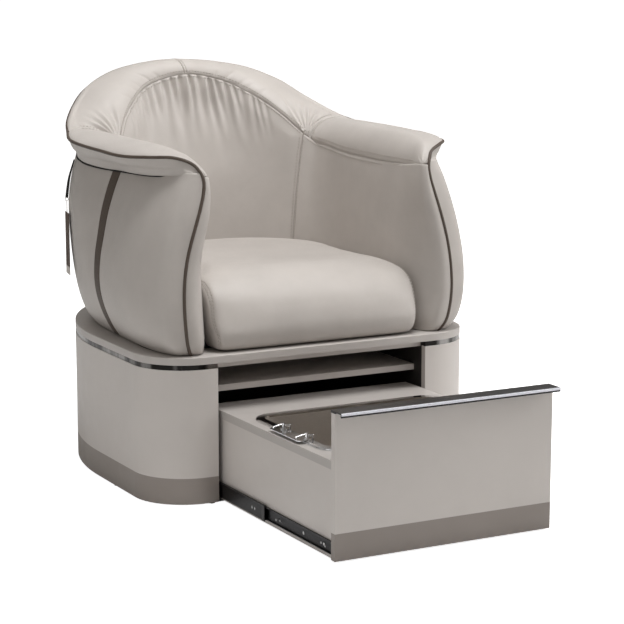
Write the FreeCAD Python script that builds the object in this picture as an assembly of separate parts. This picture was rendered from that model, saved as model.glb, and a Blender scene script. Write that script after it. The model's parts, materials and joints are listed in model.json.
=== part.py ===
# Pedicure spa chair: an upholstered tub chair on a D-shaped plinth, with a foot-bath drawer
# that pulls out of the plinth on a pair of telescopic slides.
#
# Millimetres, +Z up, floor at z = 0. The sitter faces -Y; +X and -X are called right and left.
# The origin is the centre of the footprint of the whole object with its drawer open, as drawn here.

import FreeCAD, Part
import math
import os

V = FreeCAD.Vector

# ---------------------------------------------------------------- driving dimensions
PLINTH_WIDTH = 900.0          # plinth and seat board, side to side
PLINTH_DEPTH = 940.0          # plinth, front face to rearmost point
DRAWER_OPEN = 566.0           # how far the drawer stands open as drawn
HANDLE_PROUD = 28.6           # handle lip in front of the drawer panel
HANDLE_TOP = 341.0
HANDLE_SHEET = 3.2
HANDLE_NOSE = 3.0             # radius of the lip's front edge
LIP_DROP = 10.0               # how far the lip turns down
BOARD = 18.0                  # furniture board of the plinth, seat board and drawer panel

CORNER_RADIUS = 134.0         # plinth's front corners
REAR_CURVE_DEPTH = 571.0      # the half ellipse that closes the plinth at the rear
GLIDE_HEIGHT = 3.0
KICK_TOP = 67.0               # top of the darker kick band
SHELL_TOP = 331.0             # top of the plinth's side shell
SEAT_BOARD_BOTTOM = 343.4     # the polished trim strip fills the gap under the seat board
SEAT_BOARD_TOP = SEAT_BOARD_BOTTOM + 17.8
SEAT_BOARD_JOINT = 329.0      # joint across the seat board, behind the plinth's front
TRIM_RECESS = 1.5

OPENING_HALF_WIDTH = 288.4
SHELF_FRONT = 55.3            # shelf edge, behind the plinth's front
SHELF_Z = (262.0, 277.0)
PARTITION_Y = 655.0           # rear partition behind the drawer bay, behind the plinth's front
RAIL_SETBACK = 24.0
RAIL_DEPTH = 60.0

PANEL_HALF_WIDTH = 282.0      # drawer front panel
PANEL_BOTTOM = 5.0
PANEL_TOP = 335.0
BOX_HALF_WIDTH = 275.5        # outside of the drawer's sides
BOX_WALL = 15.0
BOX_LENGTH = 627.0
BOX_BOTTOM = 5.0
DECK_HALF_WIDTH = 279.0       # drawer's top board, which carries the foot bath
DECK_BOTTOM = 206.5
DECK_TOP = 226.5

RIM_HALF_WIDTH = 257.0        # foot bath rim, outside
RIM_WIDTH = 21.0
RIM_RADIUS = 55.0
RIM_HEIGHT = 6.0
RIM_FRONT = 62.0              # rim, behind the back of the drawer panel
RIM_LENGTH = 393.0
BASIN_DEPTH = 178.0
BASIN_DRAFT = 20.0            # how much each wall leans in over the depth
BASIN_SKIN = 2.5

SLIDE_Z = 31.0                # centre line of the slides
SLIDE_LENGTH = 600.0
SLIDE_START = 27.0            # fixed member's front end, behind the plinth's front
MIDDLE_START = 54.3           # middle member's front end with the drawer shut
MIDDLE_LENGTH = 560.0
INNER_LENGTH = 560.0
SLIDE_HALF_HEIGHTS = (22.5, 17.5, 14.5)
SLIDE_SHEET = 1.2
SCREW_HOLE = 2.1

DRAIN_RADIUS = 20.0
STOPPER_TRAVEL = 6.0
TAP_X = 249.0                 # taps stand on the left side of the foot bath's rim
TAP_PLACES = (285.0, 174.0)   # rear and front tap, behind the back of the drawer panel
TAP_HEIGHT = 22.0             # stem above the deck
TAP_PLATE = (243.0, 275.0, 164.0, 310.0, 2.0)   # near x, far x, near y, far y, thickness

PAD_THICKNESS = 55.0          # inner upholstery of arms and back
SKIN_THICKNESS = 12.0         # padded outer cover
BODY_GAP = 0.3                # upholstered body above the seat board
STRIP_Y = 357.0               # contrast strip on each side, behind the plinth's front
STRIP_WIDTH = 37.0

# ---------------------------------------------------------------- places worked out from them
REAR_Y = (PLINTH_DEPTH + DRAWER_OPEN + HANDLE_PROUD) / 2
FRONT_Y = REAR_Y - PLINTH_DEPTH           # plinth's front face
PANEL_FRONT = FRONT_Y - DRAWER_OPEN       # drawer panel's face, drawer open
PANEL_BACK = PANEL_FRONT + BOARD
BOX_REAR = PANEL_BACK + BOX_LENGTH
HALF = PLINTH_WIDTH / 2
BODY_BOTTOM = SEAT_BOARD_TOP + BODY_GAP


# ---------------------------------------------------------------- helpers
def box(x0, x1, y0, y1, z0, z1):
    """Block between two corners."""
    return Part.makeBox(x1 - x0, y1 - y0, z1 - z0, V(x0, y0, z0))


def prism(wire, z0, z1):
    """Upright solid on a wire drawn at z = 0."""
    solid = Part.Face(wire).extrude(V(0, 0, z1 - z0))
    solid.translate(V(0, 0, z0))
    return solid


def rod(start, end, radius):
    """Round bar from one point to another."""
    run = V(*end) - V(*start)
    return Part.makeCylinder(radius, run.Length, V(*start), run)


def mirrored(shape):
    """The same piece on the other side of the object."""
    return shape.mirror(V(0, 0, 0), V(1, 0, 0))


def group(shapes):
    """Separate solids that share one node."""
    return Part.makeCompound(shapes)


def eased(shape, radius, pick):
    """Round the edges that pick(edge) accepts."""
    edges = [edge for edge in shape.Edges if pick(edge)]
    return shape.makeFillet(radius, edges)


def at_height(z):
    """Edge test: lies level at height z."""
    return lambda edge: abs(edge.BoundBox.ZMin - z) < 0.01 and abs(edge.BoundBox.ZMax - z) < 0.01


def upright(edge):
    """Edge test: stands vertically."""
    bounds = edge.BoundBox
    return bounds.XLength < 0.01 and bounds.YLength < 0.01


def save(name, shape):
    """Write one sub-part."""
    shape.exportStep("parts/" + name + ".step")


def save_pair(name, right_shape):
    """Write a piece and its mirror image."""
    save(name + "_right", right_shape)
    save(name + "_left", mirrored(right_shape))


def right_half(shape):
    """The part of a symmetric shape on the +X side."""
    return shape.common(box(0, 2 * HALF, -3 * HALF, 3 * HALF, -10, 2000))


def rounded_rectangle(half_width, y0, y1, radius):
    """Wire of a rectangle about x = 0 with rounded corners."""
    x = half_width
    k = radius * (1 - math.sqrt(0.5))
    corners = [
        (V(x - radius, y0, 0), V(x - k, y0 + k, 0), V(x, y0 + radius, 0)),
        (V(x, y1 - radius, 0), V(x - k, y1 - k, 0), V(x - radius, y1, 0)),
        (V(-x + radius, y1, 0), V(-x + k, y1 - k, 0), V(-x, y1 - radius, 0)),
        (V(-x, y0 + radius, 0), V(-x + k, y0 + k, 0), V(-x + radius, y0, 0)),
    ]
    edges = []
    for index, (start, middle, end) in enumerate(corners):
        edges.append(Part.Arc(start, middle, end).toShape())
        edges.append(Part.LineSegment(end, corners[(index + 1) % 4][0]).toShape())
    return Part.Wire(edges)


# ---------------------------------------------------------------- plinth
def plinth_outline(inset=0.0):
    """D-shaped plan: flat front, round front corners, straight sides, half-elliptical rear."""
    half = HALF - inset
    front = FRONT_Y + inset
    radius = CORNER_RADIUS - inset
    depth = REAR_CURVE_DEPTH - inset
    centre = REAR_Y - REAR_CURVE_DEPTH
    k = radius * (1 - math.sqrt(0.5))
    ellipse = Part.Ellipse(V(0, centre + depth, 0), V(half, centre, 0), V(0, centre, 0))
    quarter = math.pi / 2
    rear = Part.ArcOfEllipse(ellipse, -quarter, quarter).toShape()
    corner = Part.Arc(V(half - radius, front, 0), V(half - k, front + k, 0), V(half, front + radius, 0))
    other = Part.Arc(V(-half, front + radius, 0), V(-half + k, front + k, 0), V(radius - half, front, 0))
    return Part.Wire(Part.sortEdges([
        Part.LineSegment(V(radius - half, front, 0), V(half - radius, front, 0)).toShape(),
        corner.toShape(),
        Part.LineSegment(V(half, front + radius, 0), V(half, centre, 0)).toShape(),
        rear,
        Part.LineSegment(V(-half, centre, 0), V(-half, front + radius, 0)).toShape(),
        other.toShape(),
    ])[0])


def plinth_band(z0, z1, recess=0.0):
    """Board-thick band round the plinth, open at the drawer bay."""
    ring = prism(plinth_outline(recess), z0, z1).cut(prism(plinth_outline(BOARD), z0, z1))
    bay = box(-OPENING_HALF_WIDTH, OPENING_HALF_WIDTH, FRONT_Y - 1, FRONT_Y + BOARD + 1, z0 - 1, z1 + 1)
    return ring.cut(bay)


def bay_wall():
    """Right wall of the drawer bay, which carries the slide and the shelf."""
    x0 = OPENING_HALF_WIDTH
    y1 = FRONT_Y + PARTITION_Y + BOARD
    return box(x0, x0 + BOARD, FRONT_Y + BOARD, y1, GLIDE_HEIGHT, SEAT_BOARD_BOTTOM)


def build_plinth():
    """Side shells, kick bands, trim strip, partition, rail, shelf and glides."""
    save_pair("plinth_shell", right_half(plinth_band(KICK_TOP, SHELL_TOP)))
    save_pair("kick_band", right_half(plinth_band(GLIDE_HEIGHT, KICK_TOP)))
    save("trim_strip", plinth_band(SHELL_TOP, SEAT_BOARD_BOTTOM, TRIM_RECESS))

    x0 = OPENING_HALF_WIDTH
    partition = FRONT_Y + PARTITION_Y
    save("bay_partition", box(-x0, x0, partition, partition + BOARD, GLIDE_HEIGHT, SEAT_BOARD_BOTTOM))
    rail_front = FRONT_Y + RAIL_SETBACK
    save("top_rail", box(-x0, x0, rail_front, rail_front + RAIL_DEPTH, SHELL_TOP - 3, SEAT_BOARD_BOTTOM))
    shelf = box(-x0, x0, FRONT_Y + SHELF_FRONT, partition, *SHELF_Z)
    save("storage_shelf", shelf)

    glides = []
    for x, y in glide_places():
        glides.append(Part.makeCylinder(7, GLIDE_HEIGHT, V(x, y, 0)))
    save("glides", group(glides))


def glide_places():
    """Centres of the nail-on glides under the kick band."""
    inset = BOARD / 2
    front = FRONT_Y + inset
    side = HALF - inset
    centre = REAR_Y - REAR_CURVE_DEPTH
    places = []
    for sign in (1, -1):
        places.append((sign * (OPENING_HALF_WIDTH + 15), front))
        places.append((sign * side, FRONT_Y + 2 * CORNER_RADIUS))
        for angle in (30, 60, 88):
            turn = math.radians(angle)
            depth = REAR_CURVE_DEPTH - inset
            places.append((sign * side * math.cos(turn), centre + depth * math.sin(turn)))
    return places


def seat_board():
    """The whole seat board before it is divided."""
    board = prism(plinth_outline(), SEAT_BOARD_BOTTOM, SEAT_BOARD_TOP)
    board = eased(board, 1.5, at_height(SEAT_BOARD_TOP))
    return board.cut(bolt_holes(SEAT_BOARD_BOTTOM - 1, SEAT_BOARD_TOP + 1))


def build_seat_board():
    """Front and rear seat boards, butted along a straight joint."""
    joint = FRONT_Y + SEAT_BOARD_JOINT
    board = seat_board()
    reach = 2 * PLINTH_DEPTH
    save("seat_board_front", board.common(box(-HALF, HALF, joint - reach, joint - 0.4, 0, 1000)))
    save("seat_board_rear", board.common(box(-HALF, HALF, joint + 0.4, joint + reach, 0, 1000)))


# ---------------------------------------------------------------- upholstered body
# Plan of the outer cover at each height. x values are half widths; y values are behind the
# plinth's front face. front: where the front edge starts; corner: 70 behind the front;
# side: at the contrast strip; wide: beside the hips; rear: rearmost point.
CORNER_Y = 70.0
WIDE_Y = 539.0
HIP = (0.74, 0.62)            # a point on the rear curve, as parts of wide and of wide to rear
BODY_SECTIONS = [
    {"z": BODY_BOTTOM, "front": (345, 30), "corner": 390, "side": 395, "wide": 376, "rear": 866},
    {"z": 400.0, "front": (361, 16), "corner": 415, "side": 420, "wide": 401, "rear": 890},
    {"z": 470.0, "front": (369, 10), "corner": 433, "side": 446, "wide": 422, "rear": 906},
    {"z": 560.0, "front": (364, 14), "corner": 428, "side": 447, "wide": 433, "rear": 915},
    {"z": 680.0, "front": (333, 16), "corner": 399, "side": 423, "wide": 434, "rear": 910},
    {"z": 795.0, "front": (310, 33), "corner": 350, "side": 380, "wide": 410, "rear": 885},
    {"z": 960.0, "front": (290, 60), "corner": 310, "side": 340, "wide": 366, "rear": 858},
]
CAVITY = [                    # seat cavity: height, half width, centre of its round rear
    (BODY_BOTTOM - 20, 278.0, 389.0),
    (1040.0, 299.0, 496.0),
]
ARM_EDGE = [                  # inner edge of the arm's front: height, half width
    (BODY_BOTTOM - 5, 313.0), (385.0, 318.0), (440.0, 325.0), (499.0, 327.0), (570.0, 322.0),
    (641.0, 311.0), (699.0, 301.0), (745.0, 295.0), (790.0, 294.0),
]
COLLAR_PLAN = [(308, 25), (355, 62), (400, 114), (436, 169), (458, 320), (460, 450), (424, 570),
               (342, 735), (190, 855), (0, 893)]
ARM_COLLAR = (785.0, 850.0)   # underside and top of the collar along the arms
COLLAR_UNDERSIDE = [(-40, ARM_COLLAR[0]), (600, ARM_COLLAR[0]), (700, 838), (800, 930), (960, 935)]
COLLAR_TOP = [(960, 1005), (880, 1008), (824, 1015), (795, 988), (735, 932), (660, 882),
              (590, ARM_COLLAR[1]), (-40, ARM_COLLAR[1])]
BACK_SEAM_Y = 594.0           # where the arm pads end and the back pad starts

BOLT_RADIUS = 4.0
BOLT_HOLE_RADIUS = 4.3
FRAME_THICKNESS = 22.0        # plywood base of the body
FRAME_INSET = 16.0            # base frame inside the outer cover
ARM_FRAME = (349.0, 365.0, 110.0, 560.0, 700.0)   # x, x, y, y, top
BACK_FRAME = (57.0, 73.0, 900.0)                  # nearest and farthest from the cavity, top
FRAME_TOP = BODY_BOTTOM + FRAME_THICKNESS
WELL_INSET = 45.0             # the well under the seat, inside the seat cavity
WELL_FRONT = 140.0
WEBBING = (50.0, 2.5)         # strap width and thickness
STRAP_INSET = 12.0            # strap ends, inside the seat cavity
CROSS_STRAPS = (150.0, 242.0, 334.0, 426.0, 518.0)
LONG_STRAPS = (-208.0, -86.0, 36.0, 158.0)
FRAME_FRONT = 100.0           # base frame's front edge, behind the plinth's front
SEAT_HALF_WIDTH = 284.0
SEAT_FRONT = 5.0
SEAT_REAR = 760.0             # cut to the round rear of the cavity
SEAT_TOP = 556.0
SEAT_EDGE_RADIUS = 34.0


def body_section(section, inset):
    """Closed plan wire of the outer cover at one height, moved inwards by inset."""
    front_x, front_y = section["front"]
    right = [
        (front_x - inset / 2, front_y + inset),
        (section["corner"] - inset, CORNER_Y + inset / 2),
        (section["side"] - inset, STRIP_Y),
        (section["wide"] - inset, WIDE_Y),
        (HIP[0] * section["wide"] - inset * 0.7,
         WIDE_Y + HIP[1] * (section["rear"] - WIDE_Y) - inset * 0.7),
        (0, section["rear"] - inset),
    ]
    left = [(-x, y) for x, y in reversed(right[:-1])]
    points = [V(x, FRONT_Y + y, section["z"]) for x, y in right + left]
    curve = Part.BSplineCurve()
    curve.interpolate(points)
    front = Part.LineSegment(points[-1], points[0]).toShape()
    return Part.Wire([curve.toShape(), front])


def body_solid(inset):
    """The whole upholstered body as one closed solid, moved inwards by inset."""
    return Part.makeLoft([body_section(section, inset) for section in BODY_SECTIONS], True, False)


def cavity_solid(grow):
    """Seat cavity between the arms, with a round rear that leans back; grow widens it."""
    wires = []
    for z, half, centre in CAVITY:
        half = half + grow
        y = FRONT_Y + centre
        front = FRONT_Y - 80
        arc = Part.Arc(V(half, y, z), V(0, y + half, z), V(-half, y, z)).toShape()
        wires.append(Part.Wire([
            Part.LineSegment(V(-half, front, z), V(half, front, z)).toShape(),
            Part.LineSegment(V(half, front, z), V(half, y, z)).toShape(),
            arc,
            Part.LineSegment(V(-half, y, z), V(-half, front, z)).toShape(),
        ]))
    return Part.makeLoft(wires, True, True)


def arm_flare():
    """What is taken off the inner front corner of the right arm, where it opens towards the front."""
    wires = []
    for z, edge in ARM_EDGE:
        share = (z - CAVITY[0][0]) / (CAVITY[1][0] - CAVITY[0][0])
        half = CAVITY[0][1] + share * (CAVITY[1][1] - CAVITY[0][1])
        flare = edge - half
        plan = [(half - 20, -30), (edge, -30), (edge, 14), (edge - 0.22 * flare, 30),
                (edge - 0.55 * flare, 56), (edge - 0.85 * flare, 98), (half - 1, 130), (half - 20, 130)]
        corners = [V(x, FRONT_Y + y, z) for x, y in plan]
        wires.append(Part.makePolygon(corners + corners[:1]))
    return Part.makeLoft(wires, True, True)


def side_prism(points):
    """Solid with a side-view outline, right across the object; y is behind the plinth's front."""
    outline = [V(-1.5 * HALF, FRONT_Y + y, z) for y, z in points]
    return Part.Face(Part.makePolygon(outline + outline[:1])).extrude(V(3 * HALF, 0, 0))


def below_collar(gap):
    """Everything more than gap under the collar."""
    return side_prism([(y, z - gap) for y, z in COLLAR_UNDERSIDE] + [(960, 300), (-40, 300)])


def build_body():
    """Outer cover panels, contrast strips, arm pads, back pad, seat and the frame inside them."""
    outer = body_solid(0).common(below_collar(BODY_GAP))
    cavity = cavity_solid(0)
    padded_cavity = cavity_solid(PAD_THICKNESS)
    skin = outer.cut(body_solid(SKIN_THICKNESS)).cut(padded_cavity)
    strip_y = FRONT_Y + STRIP_Y
    half_strip = STRIP_WIDTH / 2
    far = 2 * PLINTH_DEPTH
    wide = HALF + 50
    save_pair("side_cover", skin.common(box(0, wide, -far, strip_y - half_strip, 0, 2000)))
    strip = skin.common(box(0, wide, strip_y - half_strip, strip_y + half_strip, 0, 2000))
    save_pair("contrast_strip", strip)
    save("rear_cover", skin.common(box(-wide, wide, strip_y + half_strip, far, 0, 2000)))

    flare = arm_flare()
    padding = outer.common(padded_cavity).cut(cavity).cut(base_blank()).cut(flare).cut(mirrored(flare))
    seam = FRONT_Y + BACK_SEAM_Y
    save_pair("arm_pad", padding.common(box(0, wide, -far, seam, 0, 2000)))
    save("back_pad", padding.common(box(-wide, wide, seam, far, 0, 2000)))
    save("base_frame", base_frame())
    build_frame()
    build_seat(cavity_solid(-0.5))


def build_collar():
    """Rolled collar that caps both arms and the back, sewn from a left, a right and a back length."""
    points = COLLAR_PLAN + [(-x, y) for x, y in reversed(COLLAR_PLAN[:-1])]
    curve = Part.BSplineCurve()
    curve.interpolate([V(x, FRONT_Y + y, 0) for x, y in points])
    front = Part.LineSegment(curve.EndPoint, curve.StartPoint).toShape()
    plan = prism(Part.Wire([curve.toShape(), front]), ARM_COLLAR[0] - 50, 1100)
    band = plan.common(side_prism(COLLAR_UNDERSIDE + COLLAR_TOP)).cut(cavity_solid(0))
    seam = FRONT_Y + BACK_SEAM_Y
    far = 2 * PLINTH_DEPTH
    save_pair("arm_collar", band.common(box(0, 2 * HALF, -far, seam, 0, 2000)))
    save("back_collar", band.common(box(-2 * HALF, 2 * HALF, seam, far, 0, 2000)))


def bolt_places():
    """Where the body is bolted down through the seat board."""
    places = []
    for sign in (1, -1):
        for x, y in ((335, 150), (335, 520), (120, 760)):
            places.append((sign * x, FRONT_Y + y))
    return places


def bolt_holes(z0, z1):
    """Clearance holes for the body bolts."""
    return group([rod((x, y, z0), (x, y, z1), BOLT_HOLE_RADIUS) for x, y in bolt_places()])


def base_blank():
    """Plywood base under the body before its well and holes are cut."""
    blank = prism(body_section(dict(BODY_SECTIONS[0], z=0.0), FRAME_INSET), BODY_BOTTOM, FRAME_TOP)
    return blank.cut(box(-HALF, HALF, FRONT_Y - 1, FRONT_Y + FRAME_FRONT, 0, 1000))


def base_frame():
    """Plywood ring under the body, with a well under the seat that the straps cross."""
    well = cavity_solid(-WELL_INSET).common(box(-HALF, HALF, FRONT_Y + WELL_FRONT, REAR_Y, 0, 1000))
    return base_blank().cut(well).cut(bolt_holes(BODY_BOTTOM - 1, FRAME_TOP + 1))


def build_frame():
    """Arm frames, back frame, webbing under the seat, and the bolts up through the seat board."""
    x0, x1, y0, y1, top = ARM_FRAME
    arm = box(x0, x1, FRONT_Y + y0, FRONT_Y + y1, FRAME_TOP, top)
    save_pair("arm_frame", arm)
    near, far, top = BACK_FRAME
    curved = cavity_solid(far).cut(cavity_solid(near)).common(below_collar(1))
    behind = box(-HALF, HALF, FRONT_Y + BACK_SEAM_Y, REAR_Y, FRAME_TOP, top)
    save("back_frame", curved.common(behind))

    width, thickness = WEBBING
    reach = cavity_solid(-STRAP_INSET)
    straps = []
    for y in CROSS_STRAPS:
        strap = box(-HALF, HALF, FRONT_Y + y, FRONT_Y + y + width, FRAME_TOP, FRAME_TOP + thickness)
        straps.append(strap.common(reach))
    z = FRAME_TOP + thickness
    for x in LONG_STRAPS:
        strap = box(x, x + width, FRONT_Y + WELL_FRONT - 30, REAR_Y, z, z + thickness)
        straps.append(strap.common(reach))
    save("seat_webbing", group(straps))

    bolts = []
    for x, y in bolt_places():
        head = Part.makeCylinder(6.5, 5.3, V(x, y, SEAT_BOARD_BOTTOM - 6.9))
        washer = Part.makeCylinder(9, 1.6, V(x, y, SEAT_BOARD_BOTTOM - 1.6))
        shank = rod((x, y, SEAT_BOARD_BOTTOM - 2), (x, y, FRAME_TOP - 1), BOLT_RADIUS)
        bolts.append(head.fuse([washer, shank]).removeSplitter())
    save("body_bolts", group(bolts))


def build_seat(cavity):
    """Deep seat cushion with a recess underneath for the frame and the webbing."""
    half = SEAT_HALF_WIDTH
    y0 = FRONT_Y + SEAT_FRONT
    y1 = FRONT_Y + SEAT_REAR
    block = box(-half, half, y0, y1, BODY_BOTTOM, SEAT_TOP)
    block = eased(block, SEAT_EDGE_RADIUS, lambda edge: not at_height(BODY_BOTTOM)(edge))
    recess_top = FRAME_TOP + 2 * WEBBING[1] + 1
    recess = box(-HALF, HALF, FRONT_Y + 45, REAR_Y, 0, recess_top)
    save("seat_cushion", block.cut(recess).common(cavity))


# ---------------------------------------------------------------- drawer and foot bath
def rim_wire(inset, radius):
    """Plan of the foot bath's rim, moved inwards by inset."""
    y0 = PANEL_BACK + RIM_FRONT + inset
    return rounded_rectangle(RIM_HALF_WIDTH - inset, y0, y0 + RIM_LENGTH - 2 * inset, radius)


def build_drawer_front():
    """Drawer panel, its kick band and the full-width finger-pull handle."""
    half = PANEL_HALF_WIDTH
    holes = panel_screws(SCREW_HOLE)
    boards = (("drawer_kick_band", PANEL_BOTTOM, KICK_TOP), ("drawer_panel", KICK_TOP, PANEL_TOP))
    for name, low, high in boards:
        board = box(-half, half, PANEL_FRONT, PANEL_BACK, low, high)
        save(name, eased(board, 1.0, upright).cut(holes))

    lip = PANEL_FRONT - HANDLE_PROUD
    top, sheet, nose = HANDLE_TOP, HANDLE_SHEET, HANDLE_NOSE
    k = nose * (1 - math.sqrt(0.5))
    x = -half - 0.8
    outline = [(PANEL_BACK, PANEL_TOP), (PANEL_BACK, top), (lip + nose, top)]
    lower = [(lip, top - nose), (lip, top - LIP_DROP), (lip + sheet, top - LIP_DROP),
             (lip + sheet, top - sheet), (PANEL_FRONT, top - sheet),
             (PANEL_FRONT, PANEL_TOP), (PANEL_BACK, PANEL_TOP)]
    nose_arc = Part.Arc(V(x, lip + nose, top), V(x, lip + k, top - k), V(x, lip, top - nose)).toShape()
    section = Part.Wire(
        Part.makePolygon([V(x, y, z) for y, z in outline]).Edges
        + [nose_arc]
        + Part.makePolygon([V(x, y, z) for y, z in lower]).Edges)
    save("drawer_handle", Part.Face(section).extrude(V(-2 * x, 0, 0)))


def build_drawer_box(side_screws):
    """Drawer sides, front and back walls, bottom and the deck that carries the foot bath."""
    half, wall = BOX_HALF_WIDTH, BOX_WALL
    y0, y1 = PANEL_BACK, BOX_REAR
    side = box(half - wall, half, y0, y1, BOX_BOTTOM, DECK_BOTTOM).cut(side_screws)
    save_pair("drawer_side", side)
    inner = half - wall
    front_wall = box(-inner, inner, y0, y0 + wall, BOX_BOTTOM, DECK_BOTTOM)
    save("drawer_front_wall", front_wall.cut(panel_screws(SCREW_HOLE)))
    save("drawer_back_wall", box(-inner, inner, y1 - wall, y1, BOX_BOTTOM, DECK_BOTTOM))
    save("drawer_bottom", box(-inner, inner, y0 + wall, y1 - wall, 10, 22))
    cut_out = prism(rim_wire(RIM_WIDTH - BASIN_SKIN - 1.5, RIM_RADIUS - 16), 0, 1000)
    deck = box(-DECK_HALF_WIDTH, DECK_HALF_WIDTH, y0, y1, DECK_BOTTOM, DECK_TOP)
    deck = eased(deck, 1.0, at_height(DECK_TOP))
    save("drawer_deck", deck.cut(cut_out))


def panel_screws(shank_radius):
    """Screws from inside the box through its front wall into the panel; also cuts their holes."""
    screws = []
    y = PANEL_BACK + BOX_WALL
    for x in (-200, 200):
        for z in (44, 170):
            shank = rod((x, y, z), (x, PANEL_BACK - 10, z), shank_radius)
            screws.append(shank.fuse(rod((x, y, z), (x, y + 2.5, z), 5)).removeSplitter())
    return group(screws)


def build_basin():
    """Foot bath, its chrome rim, and the click drain in its floor."""
    floor_z = DECK_TOP - BASIN_DEPTH
    centre_y = PANEL_BACK + RIM_FRONT + RIM_LENGTH / 2

    def tub(skin, low):
        upper = rim_wire(RIM_WIDTH - skin, RIM_RADIUS - 20 + skin)
        lower = rim_wire(RIM_WIDTH + BASIN_DRAFT - skin, RIM_RADIUS - 20 + skin)
        upper.translate(V(0, 0, DECK_TOP))
        lower.translate(V(0, 0, low))
        return Part.makeLoft([lower, upper], True, True)

    outside = eased(tub(BASIN_SKIN, floor_z - BASIN_SKIN), 24.0, at_height(floor_z - BASIN_SKIN))
    inside = eased(tub(0, floor_z), 24.0, at_height(floor_z))
    basin = outside.cut(inside)
    hole = Part.makeCylinder(DRAIN_RADIUS, 60, V(0, centre_y, floor_z - 30))
    save("foot_bath", basin.cut(hole))

    ring = prism(rim_wire(0, RIM_RADIUS), DECK_TOP, DECK_TOP + RIM_HEIGHT)
    ring = eased(ring, RIM_HEIGHT - 1, at_height(DECK_TOP + RIM_HEIGHT))
    save("foot_bath_rim", ring.cut(prism(rim_wire(RIM_WIDTH, RIM_RADIUS - 20), 0, 1000)))

    flange = Part.makeCylinder(DRAIN_RADIUS + 6, 2, V(0, centre_y, floor_z))
    tail = Part.makeCylinder(DRAIN_RADIUS - 0.5, 20, V(0, centre_y, floor_z - 18))
    bore = Part.makeCylinder(DRAIN_RADIUS - 4, 60, V(0, centre_y, floor_z - 30))
    save("drain_fitting", flange.fuse(tail).cut(bore).removeSplitter())
    cap = Part.makeCylinder(DRAIN_RADIUS - 4.5, 4, V(0, centre_y, floor_z - 1))
    stem = Part.makeCylinder(3, 14, V(0, centre_y, floor_z - 15))
    save("drain_stopper", cap.fuse(stem).removeSplitter())


def build_taps():
    """Two small lever taps on a plate on the left of the rim."""
    x_near, x_far, y_near, y_far, thickness = TAP_PLATE
    plate_z = DECK_TOP + RIM_HEIGHT
    plate = box(-x_far, -x_near, PANEL_BACK + y_near, PANEL_BACK + y_far, plate_z, plate_z + thickness)
    save("tap_plate", eased(plate, 10.0, upright))
    for name, y_place in zip(("rear", "front"), TAP_PLACES):
        y = PANEL_BACK + y_place
        base_z = plate_z + thickness
        spout_z = DECK_TOP + TAP_HEIGHT - 7
        body = rod((-TAP_X, y, base_z), (-TAP_X, y, base_z + 3), 8)
        stem = rod((-TAP_X, y, base_z), (-TAP_X, y, DECK_TOP + TAP_HEIGHT - 4), 4)
        reach = rod((-TAP_X, y, spout_z), (-TAP_X + 16, y, spout_z), 2.6)
        drop = rod((-TAP_X + 16, y, spout_z), (-TAP_X + 16, y, spout_z - 13), 2.6)
        elbow = Part.makeSphere(2.6, V(-TAP_X + 16, y, spout_z))
        save("tap_body_" + name, body.fuse([stem, reach, drop, elbow]).removeSplitter())
        top = DECK_TOP + TAP_HEIGHT - 3.8
        hub = rod((-TAP_X, y, top), (-TAP_X, y, top + 4), 4.5)
        bar = rod((-TAP_X, y, top + 2), (-TAP_X - 25, y + 4, top - 5), 2.0)
        end = Part.makeSphere(2.0, V(-TAP_X - 25, y + 4, top - 5))
        below = box(-TAP_X - 5, -TAP_X + 5, y - 5, y + 5, 0, top)
        save("tap_lever_" + name, hub.fuse([bar, end]).cut(below).removeSplitter())


# ---------------------------------------------------------------- hang tag
RIBBON_ROUTE = [(-413.5, 580, 782.5), (-423.6, 581, 753), (-430.4, 583, 724), (-434, 586, 685)]
RIBBON_RADIUS = 4.0
TAG_SIZE = (56.0, 1.2, 160.0)
TAG_TOP = 647.0
TAG_TURN = -12.0              # the card lies along the side of the body
RING_RADIUS = 4.2
RING_WIRE = 0.8
PIN_RADIUS = 0.9


def build_hang_tag():
    """Ribbon that hangs from under the collar at the left rear, with a blank card on a ringed pin."""
    points = [V(x, FRONT_Y + y, z) for x, y, z in RIBBON_ROUTE]
    edges = []
    start = points[0]
    for before, corner, after in zip(points, points[1:], points[2:]):
        back, ahead = before - corner, after - corner
        reach = 0.45 * min(back.Length, ahead.Length)
        entry = corner + back.normalize() * reach
        leave = corner + ahead.normalize() * reach
        half_turn = (math.pi - back.getAngle(ahead)) / 2
        radius = reach / math.tan(half_turn)
        print("ribbon bend radius", round(radius))
        inward = (back + ahead).normalize()
        middle = corner + inward * (radius / math.cos(half_turn) - radius)
        edges.append(Part.LineSegment(start, entry).toShape())
        edges.append(Part.Arc(entry, middle, leave).toShape())
        start = leave
    edges.append(Part.LineSegment(start, points[-1]).toShape())
    path = Part.Wire(edges)
    section = Part.Wire(Part.Circle(points[0], points[1] - points[0], RIBBON_RADIUS).toShape())
    tube = path.makePipeShell([section], True, False)
    whole = math.pi * RIBBON_RADIUS ** 2 * path.Length
    print("ribbon length", round(path.Length, 1), "volume ratio", round(tube.Volume / whole, 3))
    save("tag_ribbon", tube)

    x, y, z = points[-1]
    width, thickness, height = TAG_SIZE
    card = Part.makeBox(thickness, width, height, V(x - thickness / 2, y - width / 2, TAG_TOP - height))
    ring = Part.makeTorus(RING_RADIUS, RING_WIRE, V(x, y, z - RING_RADIUS), V(0, 1, 0))
    pin_bottom = TAG_TOP - 5
    pin = Part.makeCylinder(PIN_RADIUS, z - 2 * RING_RADIUS - pin_bottom, V(x, y, pin_bottom))
    tag = card.fuse([ring, pin]).removeSplitter()
    tag.rotate(points[-1], V(0, 0, 1), TAG_TURN)
    save("hang_tag", tag)


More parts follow.
